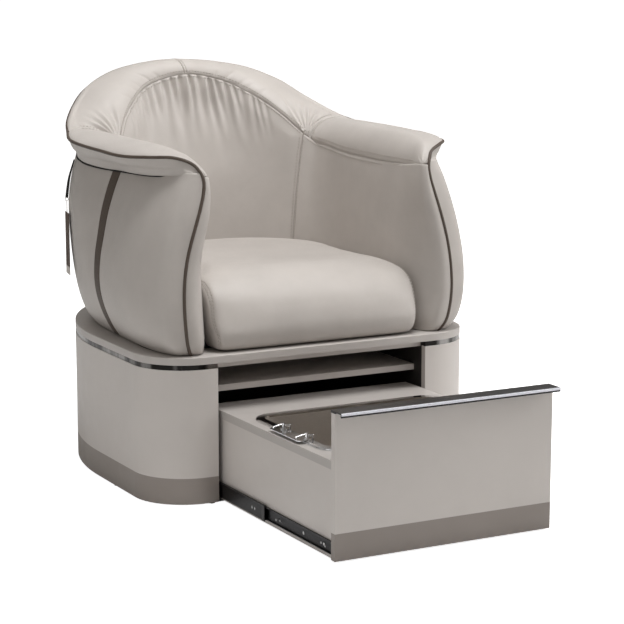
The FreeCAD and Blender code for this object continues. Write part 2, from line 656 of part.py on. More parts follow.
# ---------------------------------------------------------------- telescopic slides
def channel(x_web, x_open, half_height, y0, y1):
    """Pressed channel along Y on the right: a web at x_web with flanges reaching to x_open."""
    sheet = SLIDE_SHEET
    inward = sheet if x_open > x_web else -sheet
    low, high = SLIDE_Z - half_height, SLIDE_Z + half_height
    web = box(min(x_web, x_web + inward), max(x_web, x_web + inward), y0, y1, low, high)
    x0, x1 = min(x_web, x_open), max(x_web, x_open)
    flanges = [box(x0, x1, y0, y1, low, low + sheet), box(x0, x1, y0, y1, high - sheet, high)]
    return web.fuse(flanges).removeSplitter()


def slide_screws(x_seat, direction, places, solid=True):
    """Pan-head screws driven along X through a slide member, or the holes for them."""
    pieces = []
    for y in places:
        if solid:
            shank = rod((x_seat, y, SLIDE_Z), (x_seat + direction * 12, y, SLIDE_Z), SCREW_HOLE - 0.1)
            head = rod((x_seat, y, SLIDE_Z), (x_seat - direction * 1.6, y, SLIDE_Z), 3.8)
            pieces.append(shank.fuse(head).removeSplitter())
        else:
            start = (x_seat - direction, y, SLIDE_Z)
            pieces.append(rod(start, (x_seat + direction * 13, y, SLIDE_Z), SCREW_HOLE))
    return group(pieces)


def build_slides():
    """Fixed, middle and drawer members of both slides, with their screws."""
    wall_x, side_x = OPENING_HALF_WIDTH, BOX_HALF_WIDTH
    outer_half, middle_half, inner_half = SLIDE_HALF_HEIGHTS
    y0 = FRONT_Y + SLIDE_START
    fixed_screws = [y0 + 60, y0 + 300, y0 + 560]
    seat = wall_x - SLIDE_SHEET
    outer = channel(wall_x, wall_x - 10.8, outer_half, y0, y0 + SLIDE_LENGTH)
    save_pair("slide_fixed", outer.cut(slide_screws(seat, 1, fixed_screws, False)))
    screws = slide_screws(seat, 1, fixed_screws)
    save("slide_fixed_screws", group(screws.Solids + mirrored(screws).Solids))
    wall = bay_wall().cut(slide_screws(seat, 1, fixed_screws, False))
    save_pair("bay_wall", wall)

    y0 = FRONT_Y + MIDDLE_START - DRAWER_OPEN / 2
    middle = channel(side_x + 8.4, side_x + 2.2, middle_half, y0, y0 + MIDDLE_LENGTH)
    save_pair("slide_middle", middle)

    y0 = PANEL_BACK + 4
    drawer_screws = [y0 + 35, y0 + 130, y0 + 330, y0 + 520]
    inner = channel(side_x, side_x + 5.6, inner_half, y0, y0 + INNER_LENGTH)
    inner_seat = side_x + SLIDE_SHEET
    save_pair("slide_inner", inner.cut(slide_screws(inner_seat, -1, drawer_screws, False)))
    screws = slide_screws(inner_seat, -1, drawer_screws)
    save("slide_inner_screws", group(screws.Solids + mirrored(screws).Solids))
    return slide_screws(inner_seat, -1, drawer_screws, False)


def main():
    os.makedirs("parts", exist_ok=True)
    build_plinth()
    build_seat_board()
    build_body()
    build_collar()
    build_drawer_front()
    build_drawer_box(build_slides())
    save("panel_screws", panel_screws(SCREW_HOLE - 0.1))
    build_basin()
    build_taps()
    build_hang_tag()


main()
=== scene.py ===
import bpy
import json
import math
import random
import numpy as np
from mathutils import Matrix, Vector, noise


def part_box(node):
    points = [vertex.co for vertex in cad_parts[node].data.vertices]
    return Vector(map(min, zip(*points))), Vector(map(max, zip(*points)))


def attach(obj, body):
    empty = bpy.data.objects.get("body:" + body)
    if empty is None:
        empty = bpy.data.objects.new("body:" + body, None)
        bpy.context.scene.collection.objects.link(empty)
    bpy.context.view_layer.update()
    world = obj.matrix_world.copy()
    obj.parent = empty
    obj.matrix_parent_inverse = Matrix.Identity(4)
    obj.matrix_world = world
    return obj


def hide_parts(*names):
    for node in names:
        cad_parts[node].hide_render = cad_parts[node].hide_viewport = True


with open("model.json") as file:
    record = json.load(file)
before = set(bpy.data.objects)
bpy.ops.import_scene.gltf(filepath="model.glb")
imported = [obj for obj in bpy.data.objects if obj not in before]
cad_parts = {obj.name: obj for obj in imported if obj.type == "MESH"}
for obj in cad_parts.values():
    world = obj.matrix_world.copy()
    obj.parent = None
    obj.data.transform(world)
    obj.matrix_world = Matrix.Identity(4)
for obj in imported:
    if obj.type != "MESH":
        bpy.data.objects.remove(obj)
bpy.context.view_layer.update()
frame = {"nodes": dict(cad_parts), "record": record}
NODES = frame["nodes"]

# Sizes below are millimetres. Along the chair, y counts back from the plinth's front face.
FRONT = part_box("plinth_shell_left")[0].y * 1000


def metres(points):
    """Millimetre points, y from the plinth's front, as metres in the row frame."""
    out = np.array(points, float)
    out[..., 1] += FRONT
    return out / 1000


def row_mm(points):
    """Points in metres as millimetres with y from the plinth's front."""
    return np.array(points) * 1000 - (0, FRONT, 0)


def put(name, data):
    """New object in the scene."""
    made = bpy.data.objects.new(name, data)
    bpy.context.scene.collection.objects.link(made)
    return made


# ---------------------------------------------------------------- camera
CAMERA_AZIMUTH, CAMERA_ELEVATION = math.radians(-28.084), math.radians(10.853)
CAMERA_PLACE = Vector((-2.3333, -4.4578, 1.3206))
SENSOR, LENS = 36.0, 117.46
CAMERA_SHIFT = (0.0070, 0.0374)


def make_camera():
    """Camera that frames the chair as the customer sees it, low and from its left front."""
    data = bpy.data.cameras.new("camera")
    data.sensor_width, data.lens = SENSOR, LENS
    data.shift_x, data.shift_y = CAMERA_SHIFT
    data.clip_end = 50
    camera = put("camera", data)
    turn, rise = CAMERA_AZIMUTH, CAMERA_ELEVATION
    right = Vector((math.cos(turn), math.sin(turn), 0))
    level = math.cos(rise)
    back = Vector((math.sin(turn) * level, -math.cos(turn) * level, math.sin(rise)))
    up = back.cross(right)
    facing = Matrix((right, up, back)).transposed().to_4x4()
    camera.matrix_world = Matrix.Translation(CAMERA_PLACE) @ facing
    bpy.context.scene.camera = camera


# ---------------------------------------------------------------- materials
class Nodes:
    """A node tree and the nodes that the materials and the world are built of."""

    def __init__(self, tree, place):
        self.tree = tree
        self.place = self.node("TexCoord").outputs[place]

    def node(self, kind, *sockets, **values):
        """New node: sockets fill its inputs in order, values its inputs or settings by name."""
        made = self.tree.nodes.new("ShaderNode" + kind)
        named = [(key.replace("_", " "), key, value) for key, value in values.items()]
        for socket, setting, value in named:
            if socket in made.inputs:
                self.fill(made.inputs[socket], value)
            else:
                setattr(made, setting, value)
        for socket, value in zip(made.inputs, sockets):
            self.fill(socket, value)
        return made

    def fill(self, socket, value):
        """Link a socket to another node's output, or set it to a plain value."""
        if isinstance(value, bpy.types.NodeSocket):
            self.tree.links.new(value, socket)
        else:
            socket.default_value = value

    def stretched(self, scale):
        """Coordinates scaled unevenly, for grain that runs one way."""
        return self.node("Mapping", Vector=self.place, Scale=scale).outputs["Vector"]

    def noise(self, scale, detail=4.0, roughness=0.6, place=None):
        made = self.node("TexNoise", Vector=place or self.place, Scale=scale, Detail=detail,
                         Roughness=roughness)
        return made.outputs["Fac"]

    def cells(self, scale):
        made = self.node("TexVoronoi", feature="DISTANCE_TO_EDGE", Vector=self.place, Scale=scale)
        return made.outputs["Distance"]

    def span(self, factor, low, high, start=0.0, end=1.0):
        """factor from start to end read as low to high."""
        made = self.node("MapRange", Value=factor, From_Min=start, From_Max=end, To_Min=low,
                         To_Max=high)
        return made.outputs["Result"]

    def math(self, operation, *sockets):
        return self.node("Math", *sockets, operation=operation).outputs["Value"]

    def sum(self, first, second, weight=1.0):
        """first plus second times weight."""
        return self.math("MULTIPLY_ADD", second, weight, first)

    def seen(self):
        """1 where the camera looks straight at it, 0 for light that bounces."""
        return self.node("LightPath").outputs["Is Camera Ray"]


class Paint(Nodes):
    """One procedural material: a Principled shader fed from object coordinates in metres."""

    def __init__(self, name, roughness=0.5, **sockets):
        self.material = bpy.data.materials.new(name)
        self.material.use_nodes = True
        super().__init__(self.material.node_tree, "Object")
        self.shader = self.tree.nodes["Principled BSDF"]
        self.set("Roughness", roughness)
        for socket, value in sockets.items():
            self.set(socket.replace("_", " "), value)

    def set(self, name, value):
        self.fill(self.shader.inputs[name], value)

    def colours(self, factor, dark, light, start=0.3, end=0.7):
        ramp = self.node("ValToRGB", Fac=factor)
        for stop, place, value in zip(ramp.color_ramp.elements, (start, end), (dark, light)):
            stop.position = place
            stop.color = (*value, 1)
        self.set("Base Color", ramp.outputs["Color"])

    def rough(self, factor, low, high, start=0.3, end=0.7):
        self.set("Roughness", self.span(factor, low, high, start, end))

    def bump(self, height, distance, strength=1.0):
        made = self.node("Bump", Height=height, Distance=distance, Strength=strength)
        self.set("Normal", made.outputs["Normal"])


def shade(colour, factor):
    return tuple(channel * factor for channel in colour)


def leather(name, colour, roughness, sheen=0.10):
    """Corrected-grain leather: fine pebble, faint creases, slight unevenness of tone."""
    paint = Paint(name, roughness, Sheen_Weight=sheen, Sheen_Roughness=0.4)
    mottle = paint.noise(9, 5, 0.6)
    paint.colours(mottle, shade(colour, 0.955), shade(colour, 1.03), 0.35, 0.65)
    pebble = paint.cells(620)
    crease = paint.noise(140, 6, 0.65)
    paint.rough(crease, roughness - 0.06, roughness + 0.08)
    grain = paint.sum(paint.span(pebble, 0.0, 1.0, 0.0, 0.35), crease, 0.7)
    paint.bump(grain, 0.00022, 0.55)
    return paint.material


def lacquer(name, colour, roughness=0.42):
    """Sprayed matt lacquer on board: faint orange peel and cloudiness."""
    paint = Paint(name, roughness)
    cloud = paint.noise(5, 4, 0.5)
    paint.colours(cloud, shade(colour, 0.965), shade(colour, 1.02), 0.35, 0.65)
    peel = paint.noise(420, 3, 0.5)
    paint.rough(paint.noise(30, 4), roughness - 0.05, roughness + 0.06)
    paint.bump(peel, 0.00012, 0.35)
    return paint.material


def metal(name, colour, roughness, grain=None, metallic=1.0):
    """Metal with a brushed or polished surface; grain is the stretch of its scratches."""
    paint = Paint(name, roughness, Metallic=metallic)
    place = paint.stretched(grain) if grain else None
    streak = paint.noise(160 if grain else 26, 5, 0.6, place)
    paint.colours(streak, shade(colour, 0.86), shade(colour, 1.08), 0.3, 0.7)
    paint.rough(streak, roughness * 0.8, roughness * 1.3)
    paint.bump(streak, 0.00004, 0.5)
    return paint.material


def polished_band_painted_reflections(name, dark, bright):
    """Dark polished metal band with broad upright streaks of dark and light colour, painted
    reflections.
    """
    paint = Paint(name, 0.16, Metallic=1.0)
    streak = paint.noise(14, 3, 0.5, paint.stretched((1, 1, 0.02)))
    paint.colours(streak, dark, bright, 0.44, 0.58)
    paint.rough(streak, 0.10, 0.22)
    paint.bump(paint.noise(90, 4, 0.6, paint.stretched((1, 1, 0.1))), 0.00005, 0.4)
    return paint.material


def plastic(name, colour, roughness=0.5):
    """Moulded plastic with a fine spark texture."""
    paint = Paint(name, roughness)
    speck = paint.noise(900, 2, 0.5)
    paint.colours(paint.noise(40, 3), shade(colour, 0.9), shade(colour, 1.08))
    paint.bump(speck, 0.00008, 0.4)
    return paint.material


def plywood(name):
    paint = Paint(name, 0.6)
    rings = paint.noise(18, 6, 0.65, paint.stretched((1, 8, 8)))
    paint.colours(rings, (0.36, 0.25, 0.15), (0.60, 0.46, 0.31))
    paint.bump(rings, 0.0003, 0.4)
    return paint.material


def woven(name, colour, threads):
    """Woven band: two crossing waves of threads."""
    paint = Paint(name, 0.85)
    across, along = (paint.node("TexWave", paint.place, bands_direction=axis, Scale=threads)
                     for axis in "YZ")
    weave = paint.sum(across.outputs["Fac"], along.outputs["Fac"])
    paint.colours(paint.sum(paint.noise(60), weave, 0.25), shade(colour, 0.6), shade(colour, 1.6))
    paint.bump(weave, 0.0002, 0.6)
    return paint.material


# Metres: pale lower edge of the card, pin above the card, and the soft step between colours.
PALE_END, PIN_LENGTH, BLEND = 0.020, 0.038, 0.001


def card(name):
    """Brown card with a pale lower edge, on a pale plastic pin."""
    paint = Paint(name, 0.75)
    low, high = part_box("hang_tag")
    level = paint.node("SeparateXYZ", paint.place).outputs["Z"]
    bottom = paint.span(level, 1.0, 0.0, low.z + PALE_END - BLEND, low.z + PALE_END + BLEND)
    top = paint.span(level, 0.0, 1.0, high.z - PIN_LENGTH - BLEND, high.z - PIN_LENGTH + BLEND)
    fibre = paint.noise(260, 6, 0.7)
    pale = paint.sum(paint.sum(bottom, top), fibre, 0.08)
    paint.colours(pale, (0.085, 0.056, 0.040), (0.62, 0.58, 0.54), 0.02, 0.9)
    paint.bump(fibre, 0.00015, 0.5)
    return paint.material


GREIGE = (0.505, 0.468, 0.437)
TAUPE = (0.082, 0.060, 0.045)
BOARD_GREIGE = (0.600, 0.560, 0.530)
BOARD_TAUPE = (0.285, 0.250, 0.226)

# How each material is made: its function and what follows the name.
RECIPES = {
    "greige_leather": (leather, GREIGE, 0.46),
    "taupe_leather": (leather, TAUPE, 0.55, 0.02),
    "thread": (woven, (0.27, 0.245, 0.22), 420),
    "greige_lacquer": (lacquer, BOARD_GREIGE),
    "taupe_lacquer": (lacquer, BOARD_TAUPE),
    "dark_lacquer": (lacquer, (0.020, 0.018, 0.017), 0.55),
    # trim band: its streaked colour paints reflections
    "black_nickel": (polished_band_painted_reflections, (0.020, 0.019, 0.018), (0.30, 0.29, 0.28)),
    # board colour darkened for the drawer's deck: painted shade; its lower roughness is the deck's
    # own gloss
    "deck_lacquer": (lacquer, shade(BOARD_GREIGE, 0.74), 0.34),
    # board colour darkened for the seat board: painted shade
    "seat_board_lacquer": (lacquer, shade(BOARD_GREIGE, 0.84)),
    "chrome": (metal, (0.78, 0.78, 0.79), 0.07),
    "steel_bowl": (metal, (0.56, 0.52, 0.48), 0.34, (1, 14, 14)),
    "slide_steel": (metal, (0.035, 0.035, 0.037), 0.32, (6, 1, 6)),
    "anthracite": (metal, (0.050, 0.048, 0.049), 0.32, (1, 12, 12)),
    # near-black copy of the leather for the tube in the tuck under the collar: painted shadow
    "tuck_lining": (leather, (0.010, 0.008, 0.007), 0.85, 0.0),
    # pale bluish copy of the handle's metal for its rounded nose: painted highlight
    "handle_nose": (metal, (0.78, 0.79, 0.85), 0.30, (1, 12, 12), 0.3),
    "screw_steel": (metal, (0.55, 0.55, 0.55), 0.25),
    "plywood": (plywood,),
    "webbing": (woven, (0.12, 0.12, 0.12), 160),
    "glide_plastic": (plastic, (0.04, 0.04, 0.04)),
    "tag_card": (card,),
    "tag_ribbon": (woven, (0.008, 0.008, 0.008), 260),
}
MATERIALS = {name: make(name, *values) for name, (make, *values) in RECIPES.items()}

# Nodes with a material of their own instead of their slot's. The deck and the seat board take
# darker copies of the board lacquer as painted shade, and the base frame takes near-black lacquer
# so that its edge under the leather paints a shadow line.
OWN_FINISH = {"base_frame": "dark_lacquer", "drawer_deck": "deck_lacquer",
              "seat_board_front": "seat_board_lacquer", "seat_board_rear": "seat_board_lacquer"}


def paint_nodes():
    """Every CAD node takes the material of its slot in the record, or one of its own, which paints
    shade on a few of them.
    """
    for part in frame["record"]["subparts"]:
        node = NODES[part["node"]]
        node.data.materials.clear()
        slot = OWN_FINISH.get(part["node"], part["material_slot"])
        node.data.materials.append(MATERIALS[slot])


# ---------------------------------------------------------------- mesh tools
def add_piece(name, vertices, faces, slot, body="chair", smooth=True, material=None):
    """New mesh piece in the row frame, riding on a body."""
    mesh = bpy.data.meshes.new(name)
    mesh.from_pydata([tuple(vertex) for vertex in vertices], [], faces)
    mesh.update()
    if smooth:
        mesh.shade_smooth()
    piece = put(name, mesh)
    mesh.materials.append(MATERIALS[material or slot])
    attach(piece, body)
    return piece


def subdivide(piece):
    modifier = piece.modifiers.new("smooth", "SUBSURF")
    modifier.levels = modifier.render_levels = 1


def ring_faces(rings, sides, first=0, flip=False):
    """Faces between rings of vertices that follow one another, and a cap at both ends."""
    faces = []
    for i in range(rings - 1):
        for k in range(sides):
            a, b = i * sides + k, i * sides + (k + 1) % sides
            if flip:
                a, b = b, a
            faces.append((a, b, b + sides, a + sides))
    for cap in (range(sides - 1, -1, -1), range((rings - 1) * sides, rings * sides)):
        faces.append(cap[::-1] if flip else cap)
    return [tuple(first + k for k in face) for face in faces]


def spline(knots, values, at):
    """Smooth curve through values at knots, read at each of at."""
    knots, values = np.asarray(knots, float), np.asarray(values, float)
    at = np.asarray(at, float)
    slope = np.gradient(values, knots, axis=0, edge_order=1)
    index = np.clip(np.searchsorted(knots, at, side="right") - 1, 0, len(knots) - 2)
    width = knots[index + 1] - knots[index]
    t = (at - knots[index]) / width
    if values.ndim > 1:
        t, width = t[..., None], width[..., None]
    h = t * t * (3 - 2 * t)
    return ((1 - h) * values[index] + h * values[index + 1]
            + t * (1 - t) ** 2 * width * slope[index] - t * t * (1 - t) * width * slope[index + 1])


def read_table(table, at):
    """The rest of a table's row where its first column would be at."""
    table = np.array(table, float)
    return spline(table[:, 0], table[:, 1:], at)


def distance_along(points, axis):
    """Distance from the first point to each point, along an axis of a grid or a line."""
    gaps = np.linalg.norm(np.diff(points, axis=axis), axis=-1)
    start = np.zeros_like(np.take(gaps, [0], axis=axis))
    return np.concatenate((start, np.cumsum(gaps, axis=axis)), axis=axis)


def line_length(points):
    return np.linalg.norm(np.diff(points, axis=0), axis=1).sum()


def chord_knots(points):
    """Knots from 0 to 1 in step with the distance between points."""
    knots = distance_along(np.asarray(points, float), 0)
    return knots / knots[-1]


def resample(points, count):
    """The same line with evenly spaced points."""
    return spline(chord_knots(points), points, np.linspace(0, 1, count))


def steps(length, spacing, edge=6.0):
    """Places from 0 to 1 along a length, closer together near both ends."""
    if length < 3 * edge:
        return (1 - np.cos(np.linspace(0, math.pi, 11))) / 2
    near = np.array([0.0, 0.6, 1.6, 3.2, edge])
    count = max(3, int((length - 2 * edge) / spacing) + 1)
    inner = np.linspace(edge, length - edge, count)
    return np.concatenate((near[:-1], inner, (length - near[:-1])[::-1])) / length


def grid_normals(grid):
    """Unit normals of a grid of points, along rows cross along columns."""
    along = np.gradient(grid, axis=0)
    across = np.gradient(grid, axis=1)
    normal = np.cross(along, across)
    return normal / np.maximum(np.linalg.norm(normal, axis=2, keepdims=True), 1e-9)


def edge_distance(grid):
    """Each grid point's distance from the nearer row border and the nearer column border."""
    from_top, from_left = distance_along(grid, 0), distance_along(grid, 1)
    rows = np.minimum(from_top, from_top[-1:] - from_top)
    columns = np.minimum(from_left, from_left[:, -1:] - from_left)
    return rows, columns


def smooth_step(value, start, end):
    """0 up to start, 1 from end on, and a smooth rise between them."""
    t = np.clip((value - start) / (end - start), 0, 1)
    return t * t * (3 - 2 * t)


def rolled_edge(distance, radius):
    """Drop below the surface near a border: a quarter circle of that radius."""
    inside = np.clip(distance / radius, 0, 1)
    return radius * (np.sqrt(1 - (1 - inside) ** 2) - 1)


def waviness(grid, scale, size):
    """Gentle seeded unevenness, in millimetres."""
    flat = grid.reshape(-1, 3) / scale
    values = [noise.noise(Vector(point)) for point in flat]
    return size * np.array(values).reshape(grid.shape[:2])


def panel(name, grid, outward, node, slot="greige_leather", roll=3.6, puff=3.0, depth=16.0,
          folds=0.0, uneven=0.8):
    """Padded leather panel on a grid of points: rounded at its seams, swollen between them."""
    normal = grid_normals(grid) * outward
    rows, columns = edge_distance(grid)
    nearest = np.minimum(rows, columns)
    lift = rolled_edge(rows, roll) + rolled_edge(columns, roll)
    lift = np.maximum(lift, -1.3 * roll) + puff * smooth_step(nearest, 0, 45)
    lift = lift + waviness(grid, 90, uneven) * smooth_step(nearest, 4, 40) + folds
    face = grid + normal * lift[..., None]
    piece = shell(name, face, grid - normal * depth, outward, slot)
    stand_for(piece, node)
    return face, normal


def stand_for(piece, node):
    """Round off a padded piece, which takes the place of a CAD node."""
    subdivide(piece)
    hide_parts(node)


def shell(name, face, inner, outward, slot):
    """Closed piece between a visible grid and a hidden one."""
    n, m = face.shape[:2]
    vertices = np.concatenate((metres(face).reshape(-1, 3), metres(inner).reshape(-1, 3)))
    faces = []

    def quad(a, b, c, d):
        faces.append((a, b, c, d) if outward > 0 else (d, c, b, a))

    for i in range(n - 1):
        for j in range(m - 1):
            a, b, c, d = i * m + j, (i + 1) * m + j, (i + 1) * m + j + 1, i * m + j + 1
            quad(a, b, c, d)
            quad(n * m + d, n * m + c, n * m + b, n * m + a)
    border = ([(i, 0) for i in range(n - 1)] + [(n - 1, j) for j in range(m - 1)]
              + [(i, m - 1) for i in range(n - 1, 0, -1)] + [(0, j) for j in range(m - 1, 0, -1)])
    ring = [i * m + j for i, j in border]
    for a, b in zip(ring, ring[1:] + ring[:1]):
        quad(b, a, a + n * m, b + n * m)
    return add_piece(name, vertices, faces, slot)


def mirror(grid):
    """The same grid on the other side of the chair."""
    return grid * np.array([-1.0, 1.0, 1.0])


def both_sides(line):
    """A line that ends at the middle, carried on down the left side."""
    return np.concatenate((line, mirror(line[:-1])[::-1]))


def tube(name, points, radius, slot, body="chair", sides=8, material=None):
    """Round welt or seam along points, in millimetres."""
    points = np.asarray(points, float)
    tangent = np.gradient(points, axis=0)
    tangent /= np.linalg.norm(tangent, axis=1, keepdims=True)
    side = np.cross(tangent[0], (0.3, 0.2, 1.0))
    vertices = []
    for place, run in zip(points, tangent):
        side = side - run * np.dot(side, run)
        side /= np.linalg.norm(side)
        other = np.cross(run, side)
        for k in range(sides):
            angle = 2 * math.pi * k / sides
            vertices.append(place + radius * (side * math.cos(angle) + other * math.sin(angle)))
    add_piece(name, metres(vertices), ring_faces(len(points), sides), slot, body, material=material)


STITCH_LENGTH, STITCH_GAP, STITCH_RADIUS, STITCH_SIDES = 5.4, 3.2, 1.05, 5
STITCH_ROW = 4                # grid line of a panel that carries its stitches, 6 mm from the seam


def picked(face_and_normal, place):
    """One line of a grid and of its normals."""
    return tuple(part[place] for part in face_and_normal)


def stitches(name, lines):
    """Rows of separate stitches along lines; each line is points and outward normals."""
    vertices, faces = [], []
    for points, normals in lines:
        points, normals = np.asarray(points, float), np.asarray(normals, float)
        total = line_length(points)
        pitch = STITCH_LENGTH + STITCH_GAP
        knots = chord_knots(points)
        for index in range(int(total / pitch)):
            start = (index * pitch) / total
            end = start + STITCH_LENGTH / total
            places = np.array([start, (start + end) / 2, end])
            ends, lift = spline(knots, points, places), spline(knots, normals, places)
            run = ends[2] - ends[0]
            run /= np.linalg.norm(run)
            first = len(vertices)
            for place, up, size in zip(ends, lift, (0.5, 1.0, 0.5)):
                up = up / np.linalg.norm(up)
                side = np.cross(run, up)
                centre = place + up * (STITCH_RADIUS * (1.2 * size - 0.5))
                for k in range(STITCH_SIDES):
                    turn = math.radians(k * 360 / STITCH_SIDES)
                    offset = side * math.cos(turn) + up * math.sin(turn)
                    vertices.append(centre + offset * STITCH_RADIUS * (0.55 + 0.45 * size))
            faces += ring_faces(len(ends), STITCH_SIDES, first, flip=True)
    add_piece(name, metres(vertices), faces, "greige_leather", material="thread")


# ---------------------------------------------------------------- ribbon and tag
RIBBON_ROUTE = [(-413.5, 580, 782.5), (-423.6, 581, 753), (-430.4, 583, 724), (-434, 586, 685)]
RIBBON_WIDTH, RIBBON_THICKNESS = 8.0, 0.9
RIBBON_TWIST = 0.9            # radians, from the collar to the card


def route_line(route):
    """Points along the NURBS line through a route, in metres."""
    curve = bpy.data.curves.new("route", "CURVE")
    curve.dimensions = "3D"
    curve.resolution_u = 12
    line = curve.splines.new("NURBS")
    line.points.add(len(route) - 1)
    for point, place in zip(line.points, metres(route)):
        point.co = (*place, 1)
    line.order_u = 3
    line.use_endpoint_u = True
    holder = put("route", curve)
    bpy.context.view_layer.update()
    mesh = bpy.data.meshes.new_from_object(holder)
    points = [vertex.co.copy() for vertex in mesh.vertices]
    bpy.data.objects.remove(holder)
    return points


def make_ribbon():
    """Flat woven ribbon that hangs from under the collar down to the ring of the tag."""
    line = route_line(RIBBON_ROUTE)
    vertices = []
    half, thin = RIBBON_WIDTH / 2000, RIBBON_THICKNESS / 2000
    outline = [(-half, 0), (-half * 0.9, thin), (0, thin * 1.3), (half * 0.9, thin),
               (half, 0), (half * 0.9, -thin), (0, -thin * 0.8), (-half * 0.9, -thin)]
    for index, place in enumerate(line):
        twist = RIBBON_TWIST * index / (len(line) - 1)
        across = Vector((-math.sin(twist), math.cos(twist), 0.0))
        run = line[min(index + 1, len(line) - 1)] - line[max(index - 1, 0)]
        run.normalize()
        out = across.cross(run).normalized()
        for wide, deep in outline:
            vertices.append(place + across * wide + out * deep)
    faces = ring_faces(len(line), len(outline), flip=True)
    ribbon = add_piece("ribbon", vertices, faces, "tag_ribbon")
    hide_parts("tag_ribbon")


# ---------------------------------------------------------------- shape of the upholstery
BODY_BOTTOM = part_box("seat_board_rear")[1].z * 1000 + 0.4
# Seat cavity at two heights: height, half width, centre of its round rear.
CAVITY_LOW, CAVITY_HIGH = (341.5, 278.0, 389.0), (1040.0, 299.0, 496.0)
PULL_FROM = 450.0             # above this height the inner wall leans out to the collar's seam
BACK_SEAM_FOOT, BACK_SEAM_LEAN = 1.47, 0.13
# Rough heights and lengths that set how far apart a grid's lines lie.
ARM_PAD_SPAN, BACK_PAD_SPAN, COVER_SPAN, GRID_GAP = (420, 700), (520, 620), 440, 11.0

# Half of the collar from the tip of the arm to the middle of the back. Each station gives the
# inner seam, the crest and the outer welt.
COLLAR = [
    ((292, 35, 785), (301, 28, 790), (312, 29, 791)),
    ((294, 58, 781), (314, 50, 811), (325, 45, 813)),
    ((298, 90, 777), (334, 86, 835), (365, 68, 830)),
    ((296, 130, 775), (344, 130, 843), (402, 115, 829)),
    ((295, 190, 773), (349, 188, 849), (437, 171, 827)),
    ((295, 320, 774), (352, 320, 852), (458, 320, 832)),
    ((295, 450, 779), (354, 450, 853), (459, 455, 837)),
    ((294, 540, 790), (362, 548, 855), (446, 530, 840)),
    ((282, 609, 803), (374, 640, 859), (417, 612, 848)),
    ((256, 638, 834), (357, 705, 887), (386, 692, 870)),
    ((230, 676, 868), (327, 744, 914), (352, 745, 897)),
    ((188, 722, 907), (268, 788, 958), (294, 800, 940)),
    ((130, 767, 945), (186, 817, 992), (205, 858, 970)),
    ((66, 782, 967), (95, 826, 1009), (104, 886, 985)),
    ((0, 784, 976), (0, 828, 1015), (0, 895, 990)),
]
CROSS_SEAM = 8                # the station where the arm collar meets the back collar
FOLD = 0.62                   # place of the fold under the collar, from the welt to the crease
COVER_TOP = 957.0
# Crease under the collar: distance behind the front, height.
CREASE = [(0, 782), (60, 785), (200, 778), (540, 783), (620, 795), (700, 828), (780, 874),
          (850, 928), (900, 942)]
CREASE_END = CREASE[-1][0]

# Outer cover: height, half width 70 behind the front, at the contrast strip, beside the hips,
# and the rearmost point.
COVER = [
    (BODY_BOTTOM, 388, 395, 376, 866), (378, 402, 408, 389, 878), (400, 415, 420, 401, 889),
    (440, 428, 437, 415, 899), (480, 432, 447, 424, 905), (560, 428, 447, 433, 913),
    (620, 416, 436, 435, 914), (680, 399, 423, 434, 910), (740, 376, 403, 424, 899),
    (795, 352, 381, 410, 885), (870, 335, 366, 392, 872), (960, 318, 350, 372, 858),
]
CORNER_Y, SIDE_Y, WIDE_Y = 70.0, 349.0, 539.0
HIP = (0.74, 0.62)
STRIP_Y, STRIP_WIDTH = 357.0, 37.0

ARM_TOP = 786.0
# Welt up the front of the arm: height, half width, distance behind the plinth's front.
ARM_WELT = [
    (BODY_BOTTOM, 344, 33), (376, 353, 23), (392, 359.5, 16.5), (412, 363.5, 13), (450, 368, 10),
    (480, 369.5, 10), (520, 368.5, 12), (560, 364.5, 14), (600, 357, 15.3), (640, 346, 15.5),
    (680, 333, 16), (715, 321.5, 18), (750, 311.5, 22), (770, 308.5, 25), (ARM_TOP, 309, 29),
]

# Inner edge of the arm's front face: height, half width.
ARM_EDGE = [(BODY_BOTTOM, 309), (385, 315), (440, 327), (499, 332), (570, 327), (641, 311),
            (699, 296), (745, 291), (ARM_TOP, 292)]


def cavity(z):
    """Half width of the seat cavity and the centre of its round rear, at heights z."""
    share = (np.asarray(z, float) - CAVITY_LOW[0]) / (CAVITY_HIGH[0] - CAVITY_LOW[0])
    half = CAVITY_LOW[1] + share * (CAVITY_HIGH[1] - CAVITY_LOW[1])
    centre = CAVITY_LOW[2] + share * (CAVITY_HIGH[2] - CAVITY_LOW[2])
    return half, centre


def cavity_point(s, z):
    """Point of the cavity wall: s runs from 0 to 1 back along the arm, to 2 at the middle."""
    half, centre = cavity(z)
    angle = (np.clip(s, 1, 2) - 1) * math.pi / 2
    x = half * np.cos(angle)
    y = np.where(s < 1, np.minimum(s, 1) * centre, centre + half * np.sin(angle))
    return np.stack(np.broadcast_arrays(x, y, z), axis=-1)


def station_of(point):
    """The s of cavity_point for a point of the collar's inner seam."""
    x, y, z = point
    _, centre = cavity(z)
    if y < centre:
        return y / centre
    return 1 + math.degrees(math.atan2(y - centre, x)) / 90


SEAM_POINTS = [row[0] for row in COLLAR]
SEAM_STATIONS = [station_of(point) for point in SEAM_POINTS]


def seam(s):
    """The collar's inner seam at stations s of the cavity wall."""
    ends = SEAM_STATIONS + [4 - SEAM_STATIONS[-2]]
    points = SEAM_POINTS + [mirror(SEAM_POINTS[-2])]
    return spline(ends, points, s)


def wall_point(s, v):
    """Inner wall of the arms and back: v from 0 at the seat board to 1 at the collar's seam."""
    top = seam(s)
    z = BODY_BOTTOM + v * (top[..., 2] - BODY_BOTTOM)
    base = cavity_point(s, z)
    pull = top - cavity_point(s, top[..., 2])
    weight = np.clip((z - PULL_FROM) / (top[..., 2] - PULL_FROM), 0, 1) ** 2
    return base + pull * weight[..., None]


def back_seam(v):
    """Where the arm pads end and the back pad starts, at heights v."""
    return BACK_SEAM_FOOT - BACK_SEAM_LEAN * v


